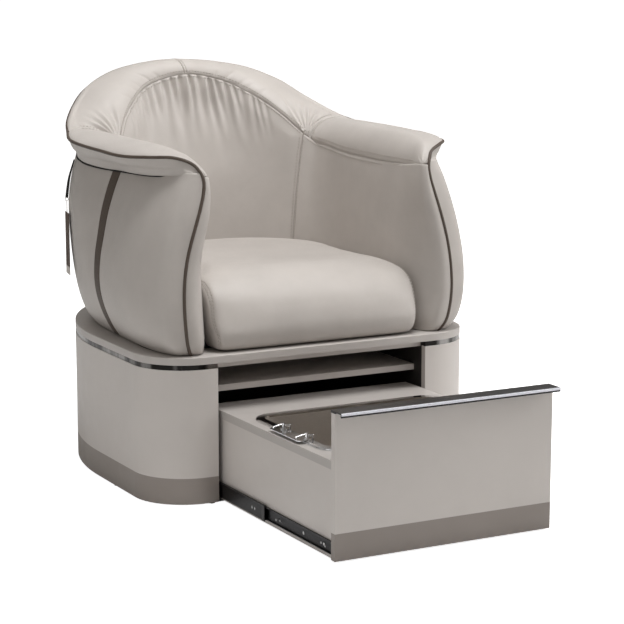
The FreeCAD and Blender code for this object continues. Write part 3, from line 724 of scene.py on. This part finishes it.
def arm_pad_grid():
    """Right arm pad: from the welt round the front of the arm and back along the inside."""
    lines = []
    for v in steps(ARM_PAD_SPAN[0], GRID_GAP):
        roll_z = BODY_BOTTOM + v * (ARM_TOP - BODY_BOTTOM)
        welt = read_table(ARM_WELT, roll_z)
        half = float(cavity(roll_z)[0])
        edge = float(read_table(ARM_EDGE, roll_z)[0])
        face, flare = welt[0] - edge, edge - half
        round_part = 1 + (back_seam(v) - 1) * np.array([0.25, 0.5, 0.75, 1.0])
        stations = np.concatenate(([0.34, 0.5, 0.7, 0.85, 1.0], round_part))
        wall = wall_point(stations, np.full(len(stations), v))
        front = [
            (welt[0], welt[1], roll_z),
            (welt[0] - 0.3 * face, welt[1] - 3.5, roll_z),
            (edge + 0.3 * face, welt[1] - 2.5, roll_z),
            (edge + 0.02 * face, welt[1] + 6, roll_z),
            (edge - 0.22 * flare, welt[1] + 20, roll_z),
            (edge - 0.55 * flare, welt[1] + 46, roll_z * 0.8 + wall[0][2] * 0.2),
            (edge - 0.85 * flare, welt[1] + 88, roll_z * 0.4 + wall[0][2] * 0.6),
        ]
        line = np.array(front + [tuple(point) for point in wall])
        knots = chord_knots(line)
        lines.append(spline(knots, line, steps(ARM_PAD_SPAN[1], GRID_GAP)))
    return np.array(lines)


def back_pad_grid():
    """Back pad, from the right back seam to the left one."""
    lines = []
    for v in steps(BACK_PAD_SPAN[0], 9):
        start = back_seam(v)
        s = start + (4 - 2 * start) * steps(BACK_PAD_SPAN[1], 3.6)
        half = np.where(s > 2, 4 - s, s)
        line = wall_point(half, np.full(len(half), v))
        line[:, 0] = np.where(s > 2, -line[:, 0], line[:, 0])
        lines.append(line)
    return np.array(lines)


def cover_outline(z):
    """Plan line of the outer cover at a height, from the right arm's welt to the left one."""
    corner, side, wide, rear = read_table(COVER, z)
    welt = read_table(ARM_WELT, min(z, ARM_TOP))
    right = [
        (welt[0], welt[1]),
        (corner - 0.25 * (corner - welt[0]), welt[1] * 0.5 + CORNER_Y * 0.5 - 8),
        (corner, CORNER_Y), (side, SIDE_Y), (wide, WIDE_Y),
        (HIP[0] * wide, WIDE_Y + HIP[1] * (rear - WIDE_Y)), (0, rear),
    ]
    return np.array(right + [(-x, y) for x, y in reversed(right[:-1])])


def crease_height(y):
    """Height of the crease under the collar, at a distance behind the front."""
    return read_table(CREASE, y)[..., 0]


def cover_surface():
    """Whole outer cover as a fine grid: rows by height, columns along the plan line."""
    columns = np.linspace(0, 1, 241)
    rows = steps(COVER_SPAN, GRID_GAP)
    guide_line = cover_outline(600)
    knots = chord_knots(guide_line)
    top = crease_height(spline(knots, guide_line, columns)[:, 1]) + 12
    levels = np.linspace(BODY_BOTTOM, COVER_TOP, 90)
    stack = np.array([spline(knots, cover_outline(z), columns) for z in levels])
    grid = np.empty((len(rows), len(columns), 3))
    for j in range(len(columns)):
        z = BODY_BOTTOM + rows * (top[j] - BODY_BOTTOM)
        grid[:, j, :2] = spline(levels, stack[:, j], z)
        grid[:, j, 2] = z
    return grid


def cut_columns(grid, keep_from, keep_to, spacing):
    """Part of a grid between two column positions given per row, re-spaced for its own borders."""
    columns = np.arange(grid.shape[1], dtype=float)
    share = (keep_to - keep_from).mean() / (grid.shape[1] - 1)
    places = steps(line_length(grid[len(grid) // 2]) * share, spacing)
    return np.array([spline(columns, row, start + (end - start) * places)
                     for row, start, end in zip(grid, keep_from, keep_to)])


def column_at_y(grid, y):
    """For each row, the column position where the right side crosses a plane y."""
    skip, middle = 3, grid.shape[1] // 2
    places = np.arange(skip, middle + 1)
    return np.array([np.interp(y, row[skip:middle + 1, 1], places) for row in grid])


def make_covers():
    """Side covers, contrast strips and rear cover."""
    grid = cover_surface()
    half = STRIP_WIDTH / 2
    front = column_at_y(grid, STRIP_Y - half)
    behind = column_at_y(grid, STRIP_Y + half)
    side = cut_columns(grid, np.zeros(len(grid)), front, GRID_GAP)
    strip = cut_columns(grid, front, behind, 5.0)
    rear = cut_columns(grid, behind, grid.shape[1] - 1 - behind, 13.0)
    panel("side_cover_right_leather", side, -1, "side_cover_right")
    panel("side_cover_left_leather", mirror(side), 1, "side_cover_left")
    panel("rear_cover_leather", rear, -1, "rear_cover")
    for name, piece, outward in (("right", strip, -1), ("left", mirror(strip), 1)):
        panel("contrast_strip_" + name + "_leather", piece, outward, "contrast_strip_" + name,
              slot="taupe_leather", roll=2.0, puff=1.5, depth=12, uneven=0.3)


# ---------------------------------------------------------------- collar
TOP_STEPS, UNDER_STEPS = 22, 15
CREST_POINT = 8               # point of a ring near its crest, where lengths are measured


def collar_ring(inner, crest, welt, crease):
    """One closed cross-section of the collar: seam, crest, welt, crease and back inside."""
    rise, level = np.array([0, 0, 1.0]), (1, 1, 0)
    ring = []
    for t in np.linspace(0, 1, TOP_STEPS):
        angle = t * math.pi / 2
        ring.append(inner + (crest - inner) * level * (1 - math.cos(angle))
                    + rise * (crest[2] - inner[2]) * math.sin(angle))
    for t in np.linspace(0, 1, TOP_STEPS + 4)[1:]:
        angle = t * math.pi / 2
        ring.append(crest + (welt - crest) * level * math.sin(angle)
                    - rise * (crest[2] - welt[2]) * (1 - math.cos(angle)))
    for t in np.linspace(0, 1, UNDER_STEPS)[1:]:
        size = min(1.0, np.linalg.norm(crease - welt) / 55)
        pillow = t / FOLD if t < FOLD else (t - FOLD) / (1 - FOLD)
        sag = -math.sin(pillow * math.pi) * (9.0 if t < FOLD else 10.0)
        ring.append(welt + (crease - welt) * t + rise * sag * size)
    return np.array(ring)


def collar_stations():
    """The collar's control points, each with the crease found on the outer cover's outline."""
    rows = []
    for inner, crest, welt in COLLAR:
        z = crease_height(min(welt[1] + 5, CREASE_END))
        outline = cover_outline(min(z, COVER_TOP))
        fine = spline(chord_knots(outline), outline, np.linspace(0, 0.5, 400))
        aim = np.array(welt[:2], float)
        centre = np.array([0.0, min(welt[1], 480.0)])
        ray = (aim - centre) / max(np.linalg.norm(aim - centre), 1)
        offset = fine - centre
        behind = np.where(offset @ ray < 0, 1e3, 0)
        away = np.abs(offset @ np.array([-ray[1], ray[0]])) + behind
        hit = fine[np.argmin(away)] - ray * 4
        rows.append((inner, crest, welt, (hit[0], hit[1], z + 3)))
    tip = np.array(rows[0][2], float)
    rows[0] = rows[0][:3] + (tuple(tip + (-3, 6, -4)),)
    return rows


def collar_grid(first, last, shares):
    """Control points of the collar between two stations, at shares from 0 to 1."""
    controls = np.array(collar_stations(), float)
    beyond = mirror(controls[-2])[None]
    controls = np.concatenate((controls, beyond))
    knots = chord_knots(controls[:, 1])
    places = knots[first] + shares * (knots[last] - knots[first])
    return spline(knots, controls.reshape(len(controls), -1), places).reshape(len(places), 4, 3)


def collar_piece(name, stations, node, folds, crown=False):
    """Closed collar tube on rings of four control points."""
    grid = np.array([collar_ring(*row) for row in stations])
    normal = grid_normals(grid)
    centre = grid.mean(axis=1, keepdims=True)
    outward = np.sign((normal * (grid - centre)).sum(axis=2).mean())
    normal = normal * outward
    length = distance_along(grid[:, CREST_POINT], 0)
    from_end = np.minimum(length, length[-1] - length)[:, None]
    across = distance_along(grid, 1)
    lift = rolled_edge(from_end, 4.0) + rolled_edge(across, 3.6)
    lift = lift + waviness(grid, 70, 1.2) * smooth_step(from_end, 2, 40)
    lift = lift + folds(grid, from_end, across)
    grid = grid + normal * lift[..., None]
    if crown:
        slide = (5 + 0.1 * across) * np.exp(-(crown_distance(grid) / 90) ** 2)
        grid[..., 0] -= slide
    inside = [ring.mean(axis=0) * 0.25 + (ring[0] * 0.5 + ring[-1] * 0.5) * 0.75 for ring in grid]
    n, m = grid.shape[:2]
    vertices = list(grid.reshape(-1, 3)) + inside
    faces = []

    def add(*corners):
        faces.append(corners if outward > 0 else corners[::-1])

    for i in range(n - 1):
        for j in range(m - 1):
            a = i * m + j
            add(a, a + m, a + m + 1, a + 1)
        last, first, core = i * m + m - 1, i * m, n * m + i
        add(last, last + m, core + 1, core)
        add(core, core + 1, first + m, first)
    for i, turn in ((0, 1), (n - 1, -1)):
        core = n * m + i
        for j in range(m - 1):
            corners = (i * m + j, i * m + j + 1, core)
            add(*corners[::turn])
    stand_for(add_piece(name, metres(vertices), faces, "greige_leather"), node)
    return grid, normal


def fan(from_end, across, angles, reach, depth, seed):
    """Gathers that fan out from the corner where a cross seam meets the inner seam."""
    draw = random.Random(seed)
    angle = np.arctan2(from_end, across)
    radius = np.hypot(from_end, across)
    lift = np.zeros(radius.shape)
    for centre in angles:
        width = draw.uniform(0.060, 0.085)
        far = reach * draw.uniform(0.7, 1.0)
        gap = (angle - centre) / width
        fade = smooth_step(far - radius, 0, far * 0.6) * smooth_step(radius, 4, 26)
        deep = depth * draw.uniform(0.7, 1.0)
        lift += deep * fade * (0.6 * np.exp(-(gap - 1.7) ** 2) - np.exp(-gap ** 2))
    return lift


def crown_groove(grid, from_end, across):
    """The double-stitched seam across the crown, and gathers beside the two cross seams."""
    away = crown_distance(grid)
    inside = smooth_step(across[:, -1:] - across, 0, 40)
    seam_lines = np.exp(-((away - 4.0) / 1.5) ** 2)
    lift = inside * (0.9 * np.exp(-(away / 2.6) ** 2) - 2.0 * seam_lines)
    lift = lift + fan(from_end, across, (0.16, 0.38, 0.62, 0.88, 1.12), 170, 8.0, 11)
    draw = random.Random(17)
    for index in range(5):
        centre = 190 + index * 34 + draw.uniform(-8, 8)
        width = draw.uniform(4, 6)
        gap = (from_end - centre + 0.5 * across) / width
        fade = smooth_step(across, 2, 14) * smooth_step(draw.uniform(35, 60) - across, 0, 30)
        lift -= draw.uniform(1.2, 2.2) * fade * np.exp(-gap ** 2)
    return lift


def crown_distance(grid):
    """Distance of each ring from the middle of the back, in millimetres."""
    run = distance_along(grid[:, CREST_POINT], 0)
    return np.abs(run - run[len(grid) // 2])[:, None]


def arm_gathers(grid, from_end, across):
    """Small gathers at both ends of an arm collar."""
    return fan(from_end, across, (0.25, 0.55, 0.85), 60, 2.2, 23)


BACK_RUN = 540.0              # length of the collar's crest from a cross seam to the middle
# Distances of the finely set rings on each side of the crown's seam.
CROWN_RINGS = np.array([12.0, 9.0, 7.0, 5.4, 4.0, 2.6, 1.3, 0.0])


def make_collar():
    """Arm collars, back collar and the stitches beside their seams."""
    arm = collar_grid(0, CROSS_SEAM, np.linspace(0, 1, 80))
    fine = 1 - CROWN_RINGS / BACK_RUN
    shares = np.concatenate((np.linspace(0, fine[0], 140)[:-1], fine))
    back = both_sides(collar_grid(CROSS_SEAM, len(COLLAR) - 1, shares))
    right = collar_piece("arm_collar_right_leather", arm, "arm_collar_right", arm_gathers)
    left = collar_piece("arm_collar_left_leather", mirror(arm), "arm_collar_left", arm_gathers)
    middle = collar_piece("back_collar_leather", back, "back_collar", crown_groove, crown=True)
    lines = [picked(arm_face, np.s_[9:-3, 3]) for arm_face in (right, left)]
    lines += [picked(arm_face, np.s_[-3, 2:24]) for arm_face in (right, left)]
    lines.append(picked(middle, np.s_[4:-3, 3]))
    half = len(middle[0]) // 2
    lines += [picked(middle, np.s_[row, 2:24]) for row in (2, -3, half - 4, half + 4)]
    stitches("collar_stitching", lines)


# ---------------------------------------------------------------- pads
FOLDS_HALF = 235.0            # the back pad's gathers reach this far on each side of the middle


def back_folds(grid):
    """Gathers that run down from the collar's seam, strongest near the middle."""
    total, across = distance_along(grid, 0), distance_along(grid, 1)
    down = total[-1:] - total
    x = across - across[:, -1:] / 2
    draw = random.Random(7)
    lift = np.zeros(grid.shape[:2])
    place = -FOLDS_HALF
    while place < FOLDS_HALF:
        strong = math.exp(-((place + 25) / 150) ** 2)
        reach = draw.uniform(80, 140) + 170 * strong * draw.uniform(0.6, 1.0)
        width = draw.uniform(5.0, 8.0)
        depth = draw.uniform(7.0, 10.5) * (0.35 + 0.8 * strong)
        lean = draw.uniform(-0.04, 0.04) - 0.10
        centre = place + lean * down + 3 * np.sin(down / 37 + place)
        spread = width * (1 + down / 60)
        fade = smooth_step(reach - down, 0, reach) * smooth_step(down, -2, 10)
        gap = (x - centre) / spread
        lift += depth * fade * (0.75 * np.exp(-((gap - 1.3) ** 2)) - 1.25 * np.exp(-gap ** 2 * 1.8))
        place += draw.uniform(19, 33)
    return lift


def make_pads():
    """Arm pads and back pad, with a row of stitches beside each of their seams."""
    arm, back = arm_pad_grid(), back_pad_grid()
    right = panel("arm_pad_right_leather", arm, 1, "arm_pad_right", puff=2.0, uneven=1.2)
    left = panel("arm_pad_left_leather", mirror(arm), -1, "arm_pad_left", puff=2.0, uneven=1.2)
    middle = panel("back_pad_leather", back, 1, "back_pad", puff=5.0, folds=back_folds(back),
                   uneven=1.5)
    near, far, up = STITCH_ROW, -1 - STITCH_ROW, np.s_[6:-STITCH_ROW]
    lines = []
    for pad in (right, left):
        lines.append(picked(pad, (up, far)))
        lines.append(picked(pad, np.s_[far, 26:-STITCH_ROW]))
    lines += [picked(middle, place) for place in ((up, near), (up, far), np.s_[far, 4:-4])]
    stitches("pad_stitching", lines)


# ---------------------------------------------------------------- welts and seams
WELT_RADIUS, TUCK_RADIUS = 4.1, 3.9
MIDDLE = np.array([0.0, 430.0, 780.0])


def arm_welt_line():
    """The right welt from the seat board up the front of the arm."""
    rows = np.array([(x, y, z) for z, x, y in ARM_WELT], float)
    return spline(chord_knots(rows), rows, np.linspace(0, 1, 60))


def collar_line(column, count):
    """A control line of the collar on the right: 0 seam, 1 crest, 2 welt, 3 crease."""
    return collar_grid(0, len(COLLAR) - 1, np.linspace(0, 1, count))[:, column]


def level_away(points):
    """Level unit directions from the middle of the chair to points."""
    away = (points - MIDDLE) * (1, 1, 0)
    return away / np.linalg.norm(away, axis=1, keepdims=True)


def make_welts():
    """Dark welt round the outer edge, and a near-black tube in the tuck under the collar, which
    paints the shadow there.
    """
    right = np.concatenate((arm_welt_line()[:-1], collar_line(2, 160)[3:]))
    tube("welt_leather", both_sides(resample(right, 330)), WELT_RADIUS, "taupe_leather")
    tuck = resample(collar_line(3, 160), 240)[15:]
    # both ends sink into the collar
    out = 4.5 - 10.0 * (1 - smooth_step(np.arange(len(tuck)), 0, 16))[:, None]
    # near-black tube along the crease under the collar: painted shadow of the fold
    tube("collar_tuck_painted_shadow", both_sides(tuck + level_away(tuck) * out - (0, 0, 2.0)),
         TUCK_RADIUS, "taupe_leather", material="tuck_lining")


def make_seam_beds():
    """Leather that closes the bottom of each seam's groove."""
    seam_line = both_sides(resample(collar_line(0, 120), 150)[4:])
    away = seam_line - MIDDLE
    away /= np.linalg.norm(away, axis=1, keepdims=True)
    tube("collar_seam_bed", seam_line + away * 6.5, 5.0, "greige_leather")
    heights = np.linspace(0.02, 0.99, 60)
    line = wall_point(back_seam(heights), heights)
    for name, side in (("right", line), ("left", mirror(line))):
        tube("back_seam_bed_" + name, side + level_away(side) * 7.5, 4.5, "greige_leather")


# ---------------------------------------------------------------- seat
SEAT_HALF, SEAT_TOP, SEAT_CORNER = 289.0, 529.0, 20.0
SEAT_REAR_CENTRE = 414.0
# Distance of the front face behind the plinth's front: height, at the sides, in the middle.
SEAT_FRONT = [(BODY_BOTTOM + 0.8, 36, 34), (BODY_BOTTOM + 8, 22, 20), (BODY_BOTTOM + 24, 14, 12),
              (BODY_BOTTOM + 50, 12, 8), (420, 22, 10), (455, 36, 17), (485, 46, 27), (505, 60, 42),
              (519, 80, 64), (526, 106, 92), (SEAT_TOP, 140, 130)]
SEAT_SIDE = [(BODY_BOTTOM + 0.8, 22), (BODY_BOTTOM + 8, 15), (BODY_BOTTOM + 24, 12),
             (BODY_BOTTOM + 50, 8), (420, 3), (455, 0), (485, 0), (505, 2), (519, 6), (526, 13),
             (SEAT_TOP, 28)]
# Metres: remesh size, most that a point may move, and the height of the held foot.
VOXEL, MOST_SWELL, HELD_FOOT = 0.006, 0.020, 0.012
CLOTH_FRAMES = 20
CLOTH = {"quality": 4, "mass": 0.3, "tension_stiffness": 18, "compression_stiffness": 18,
         "bending_stiffness": 2.0, "use_pressure": True, "uniform_pressure_force": 4,
         "vertex_group_mass": "held"}
# Shares of the movement that are kept across and along the chair, and of its fine unevenness.
KEPT_ACROSS, KEPT_ALONG, KEPT_FINE = 0.15, 0.5, 0.25
START_ROUNDS, FINE_ROUNDS, BROAD_ROUNDS = 12, 4, 60


def seat_outline(index):
    """Plan of the seat at one level: bowed front, tight front corners, half-round rear."""
    z, at_sides, in_middle = SEAT_FRONT[index]
    inset = SEAT_SIDE[index][1]
    half = SEAT_HALF - inset
    back = SEAT_HALF - 8 - inset
    sides = []
    for y in (300, 220, 150):
        x = back - (back - half) * smooth_step(300 - y, 0, 200)
        sides.append((x, max(y, at_sides + 45), z))
    points = []
    for angle in np.linspace(0, math.pi, 41):
        y = SEAT_REAR_CENTRE + (back - 5) * math.sin(angle)
        points.append((back * math.cos(angle), y, z))
    points += [(-x, y, z) for x, y, z in sides]
    for share in np.sin(np.linspace(-math.pi / 2, math.pi / 2, 31)):
        corner = max(0.0, abs(share) * half - (half - SEAT_CORNER))
        bend = SEAT_CORNER - math.sqrt(max(SEAT_CORNER ** 2 - corner ** 2, 0))
        bow = share ** 4
        points.append((share * half, at_sides * bow + in_middle * (1 - bow) + bend, z))
    return points + sides[::-1]


def make_seat():
    """Deep seat cushion: a rounded block that pressure swells, then its boxing seams."""
    rings = [seat_outline(index) for index in range(len(SEAT_FRONT))]
    faces = ring_faces(len(rings), len(rings[0]))
    piece = add_piece("seat_leather", metres(sum(rings, [])), faces, "greige_leather")
    swell(piece)
    press_seams(piece)
    stand_for(piece, "seat_cushion")


# Boxing seam at each side of the seat, in the plane of that side: distance behind front, height.
BOXING = [(18, 362), (12, 385), (22, 412), (34, 444), (43, 488), (60, 514), (84, 531), (130, 541),
          (200, 543), (300, 543)]


GROOVE_DEPTH, GROOVE_WIDTH = 0.0026, 0.0055     # metres
SEAT_SEAM_RADIUS, SEAT_SEAM_SUNK, STITCH_OFFSET = 1.1, 2.2, 4.5


def on_surface(piece, points):
    """Nearest points on a piece's mesh and the normals there, all in metres."""
    found = [piece.closest_point_on_mesh(Vector(point))[1:3] for point in points]
    return np.array([where for where, _ in found]), np.array([facing for _, facing in found])


def press_seams(piece):
    """Groove and stitches where the side panels of the seat are sewn on."""
    route = resample(np.array([(SEAT_HALF, y, z) for y, z in BOXING], float), 90)
    place = vertex_places(piece)
    normal = np.array([vertex.normal for vertex in piece.data.vertices])
    lines = []
    for name, side in (("right", 1), ("left", -1)):
        line, facing = on_surface(piece, metres(route * (side, 1, 1)))
        line[1:-1] = (line[:-2] + line[1:-1] * 2 + line[2:]) / 4
        near = np.full(len(place), 1.0)
        for point in line:
            near = np.minimum(near, np.linalg.norm(place - point, axis=1))
        depth = GROOVE_DEPTH * np.exp(-(near / GROOVE_WIDTH) ** 2)
        place -= normal * depth[:, None]
        seam_mm = row_mm(line)
        inward = np.array([-side, 0.15, 0.1]) * STITCH_OFFSET
        lines += [seam_mm + inward, seam_mm - inward]
        tube("seat_seam_" + name, seam_mm - facing * SEAT_SEAM_SUNK, SEAT_SEAM_RADIUS,
             "greige_leather", sides=6)
    move_vertices(piece, place)
    stitched = [on_surface(piece, metres(line)) for line in lines]
    stitches("seat_stitching", [(row_mm(where), facing) for where, facing in stitched])


def vertex_places(piece):
    return np.array([vertex.co for vertex in piece.data.vertices])


def move_vertices(piece, place):
    """Give a piece's vertices new places, in metres."""
    piece.data.vertices.foreach_set("co", place.astype(np.float32).ravel())
    piece.data.update()


def settle(piece, modifier):
    """Replace the piece's mesh by what its modifiers make of it."""
    bpy.context.view_layer.update()
    seen = piece.evaluated_get(bpy.context.evaluated_depsgraph_get())
    mesh = bpy.data.meshes.new_from_object(seen)
    piece.modifiers.remove(modifier)
    old, piece.data = piece.data, mesh
    bpy.data.meshes.remove(old)


def smoothed(values, edges, rounds):
    """Values at vertices averaged with their neighbours, again and again."""
    count = np.bincount(edges.ravel(), minlength=len(values))[:, None]
    for _ in range(rounds):
        total = np.zeros_like(values)
        for one, other in (edges.T, edges.T[::-1]):
            for axis in range(values.shape[1]):
                total[:, axis] += np.bincount(one, values[other, axis], len(values))
        values = 0.4 * values + 0.6 * total / np.maximum(count, 1)
    return values


def swell(piece):
    """Cloth under pressure on a fine remesh of the piece, with its movement capped and smoothed."""
    remesh = piece.modifiers.new("remesh", "REMESH")
    remesh.mode, remesh.voxel_size = "VOXEL", VOXEL
    settle(piece, remesh)
    piece.data.shade_smooth()
    start = vertex_places(piece)
    edges = np.array([edge.vertices[:] for edge in piece.data.edges])
    end = start
    held = piece.vertex_groups.new(name="held")
    low = start[:, 2].min() + HELD_FOOT
    held.add([int(i) for i in np.nonzero(start[:, 2] < low)[0]], 1.0, "REPLACE")
    cloth = piece.modifiers.new("cloth", "CLOTH")
    for setting, value in CLOTH.items():
        setattr(cloth.settings, setting, value)
    cloth.settings.effector_weights.gravity = 0
    cloth.point_cache.frame_start, cloth.point_cache.frame_end = 1, CLOTH_FRAMES
    for step in range(1, CLOTH_FRAMES + 1):
        bpy.context.scene.frame_set(step)
    settle(piece, cloth)
    bpy.context.scene.frame_set(1)
    end = vertex_places(piece)
    move = end - start
    size = np.linalg.norm(move, axis=1, keepdims=True)
    move *= np.minimum(1, MOST_SWELL / np.maximum(size, 1e-9))
    move[:, 0] *= KEPT_ACROSS
    move[:, 1] *= KEPT_ALONG
    fine = smoothed(move, edges, FINE_ROUNDS)
    broad = smoothed(fine, edges, BROAD_ROUNDS)
    move_vertices(piece, smoothed(start, edges, START_ROUNDS) + broad + KEPT_FINE * (fine - broad))


# ---------------------------------------------------------------- drawer details
NOSE_RADIUS = 3.4
NOSE_PROUD = 1.3              # how far the nose stands in front of the handle's lip
STUD_PROUD, STUD_SIDES = 0.8, 16
# Rings of a rivet head, from its foot to its top: size and height as shares.
STUD_RINGS = ((1.0, -0.4), (1.0, 0.45), (0.72, 0.85), (0.34, 1.0))


def make_handle_nose():
    """Rounded front edge of the drawer's handle, in pale metal that paints a highlight along it."""
    low, high = (row_mm(corner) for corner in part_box("drawer_handle"))
    y, z = low[1] + NOSE_RADIUS - NOSE_PROUD, high[2] - NOSE_RADIUS - 0.2
    insets = (0.4, 1.2, 2.4)
    xs = [low[0] + inset for inset in insets] + [0] + [high[0] - inset for inset in insets[::-1]]
    tube("handle_nose", [(x, y, z) for x in xs], NOSE_RADIUS, "anthracite", "drawer", sides=20,
         material="handle_nose")


def studs(name, places, x, outward, body, wide=2.4, tall=4.2):
    """Oval rivet heads on a face at x; places are distance behind the front and height."""
    vertices, faces = [], []
    for y, z in places:
        first = len(vertices)
        for size, out in STUD_RINGS:
            for k in range(STUD_SIDES):
                angle = 2 * math.pi * k / STUD_SIDES
                vertices.append((x + outward * STUD_PROUD * out,
                                 y + wide * size * math.cos(angle),
                                 z + tall * size * math.sin(angle)))
        faces += ring_faces(len(STUD_RINGS), STUD_SIDES, first, flip=outward < 0)
    add_piece(name, metres(vertices), faces, "screw_steel", body)


def rounded_block(name, low, high, slot, body):
    """Block with edges eased by 1.2 mm, between two corners in millimetres."""
    low, high = np.array(low, float), np.array(high, float)
    corners = [[(low, high)[(i >> axis) & 1][axis] for axis in range(3)] for i in range(8)]
    faces = [(0, 2, 3, 1), (4, 5, 7, 6), (0, 1, 5, 4), (2, 6, 7, 3), (0, 4, 6, 2), (1, 3, 7, 5)]
    piece = add_piece(name, metres(corners), faces, slot, body, smooth=False)
    bevel = piece.modifiers.new("ease", "BEVEL")
    bevel.width, bevel.segments = 0.0012, 3


def make_slide_details():
    """End stop of each middle rail, and the rivets that show on the rails."""
    for name, side in (("left", -1), ("right", 1)):
        rail = "slide_middle_" + name
        low, high = (row_mm(corner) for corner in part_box(rail))
        inner_low, inner_high = (row_mm(corner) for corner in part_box("slide_inner_" + name))
        face, inner_face = (low[0], inner_low[0]) if side < 0 else (high[0], inner_high[0])
        middle, front = (low[2] + high[2]) / 2, inner_low[1]
        x0, x1 = sorted((face + side * 1.4, inner_face + side * 1.1))
        rounded_block("slide_stop_" + name, (x0, low[1] - 4, low[2] - 1.2),
                      (x1, low[1] + 9, high[2] + 1.2), "glide_plastic", rail)
        studs("slide_rivets_middle_" + name, [(low[1] + 46, middle), (low[1] + 60, middle)],
              face, side, rail)
        studs("slide_rivets_inner_" + name,
              [(front + 24, middle - 2), (front + 42, middle + 1), (front + 238, middle + 1),
               (front + 258, middle - 2)], inner_face, side, "drawer", 2.2, 3.0)


# ---------------------------------------------------------------- stage
FLOOR_HALF, FLOOR_GLOW = 30.0, 0.90
# Metres: middle in y and half sizes of the floor's patch under the plinth.
PATCH_Y, PATCH_HALF = 0.17, (0.34, 0.33)
WORLD_COLOUR, WORLD_SEEN = (1.0, 0.97, 0.93, 1), 1.1
# Area lights: name, place, the point aimed at, size in metres, watts.
LIGHTS = (("key", (3.0, -1.2, 2.2), (0, 0, 0.5), 1.4, 49),
          ("left", (-3.4, -1.6, 2.6), (0, 0, 0.4), 2.0, 8),
          ("top", (0.2, -0.6, 4.5), (0, 0, 0.5), 1.8, 142))


def make_floor():
    """Pale floor, lit up for the camera except in a patch under the plinth, which stays dark."""
    mesh = bpy.data.meshes.new("floor")
    corners = [(x * FLOOR_HALF, y * FLOOR_HALF, 0) for x, y in ((-1, -1), (1, -1), (1, 1), (-1, 1))]
    mesh.from_pydata(corners, [], [(0, 1, 2, 3)])
    floor = put("floor", mesh)
    paint = Paint("floor", 0.9)
    paint.colours(paint.noise(2), (0.86, 0.86, 0.86), (0.90, 0.90, 0.90))
    patch = paint.node("Mapping", Vector=paint.place,
                       Location=(0, -PATCH_Y / PATCH_HALF[1], 0),
                       Scale=(1 / PATCH_HALF[0], 1 / PATCH_HALF[1], 1))
    away = paint.node("VectorMath", patch.outputs["Vector"], operation="ABSOLUTE")
    apart = paint.node("SeparateXYZ", away.outputs["Vector"])
    outside = paint.math("GREATER_THAN",
                         paint.math("MAXIMUM", apart.outputs["X"], apart.outputs["Y"]), 1.0)
    paint.set("Emission Color", (1, 1, 1, 1))
    paint.set("Emission Strength",
              paint.span(paint.math("MULTIPLY", outside, paint.seen()), 0.0, FLOOR_GLOW))
    mesh.materials.append(paint.material)


def make_world():
    """White to the camera; to the chair, a dim room with brighter and darker sides."""
    world = bpy.data.worlds.new("studio")
    world.use_nodes = True
    nodes = Nodes(world.node_tree, "Generated")
    room = nodes.span(nodes.noise(2.2, 2.0, 0.5), 0.08, 0.47, 0.40, 0.60)
    sky = nodes.tree.nodes["Background"]
    nodes.fill(sky.inputs["Color"], WORLD_COLOUR)
    nodes.fill(sky.inputs["Strength"], nodes.span(nodes.seen(), room, WORLD_SEEN))
    bpy.context.scene.world = world


def make_lights():
    """Large soft lights: one from the right, a weak one from the left and one from above."""
    for name, place, aim, size, power in LIGHTS:
        data = bpy.data.lights.new(name, "AREA")
        data.size, data.energy = size, power
        lamp = put(name, data)
        lamp.location = place
        lamp.rotation_euler = (Vector(aim) - Vector(place)).to_track_quat("-Z", "Y").to_euler()


make_camera()
paint_nodes()
make_ribbon()
make_covers()
make_collar()
make_pads()
make_seam_beds()
make_welts()
make_seat()
make_handle_nose()
make_slide_details()
make_floor()
make_world()
make_lights()
bpy.context.scene.view_settings.view_transform = "Standard"
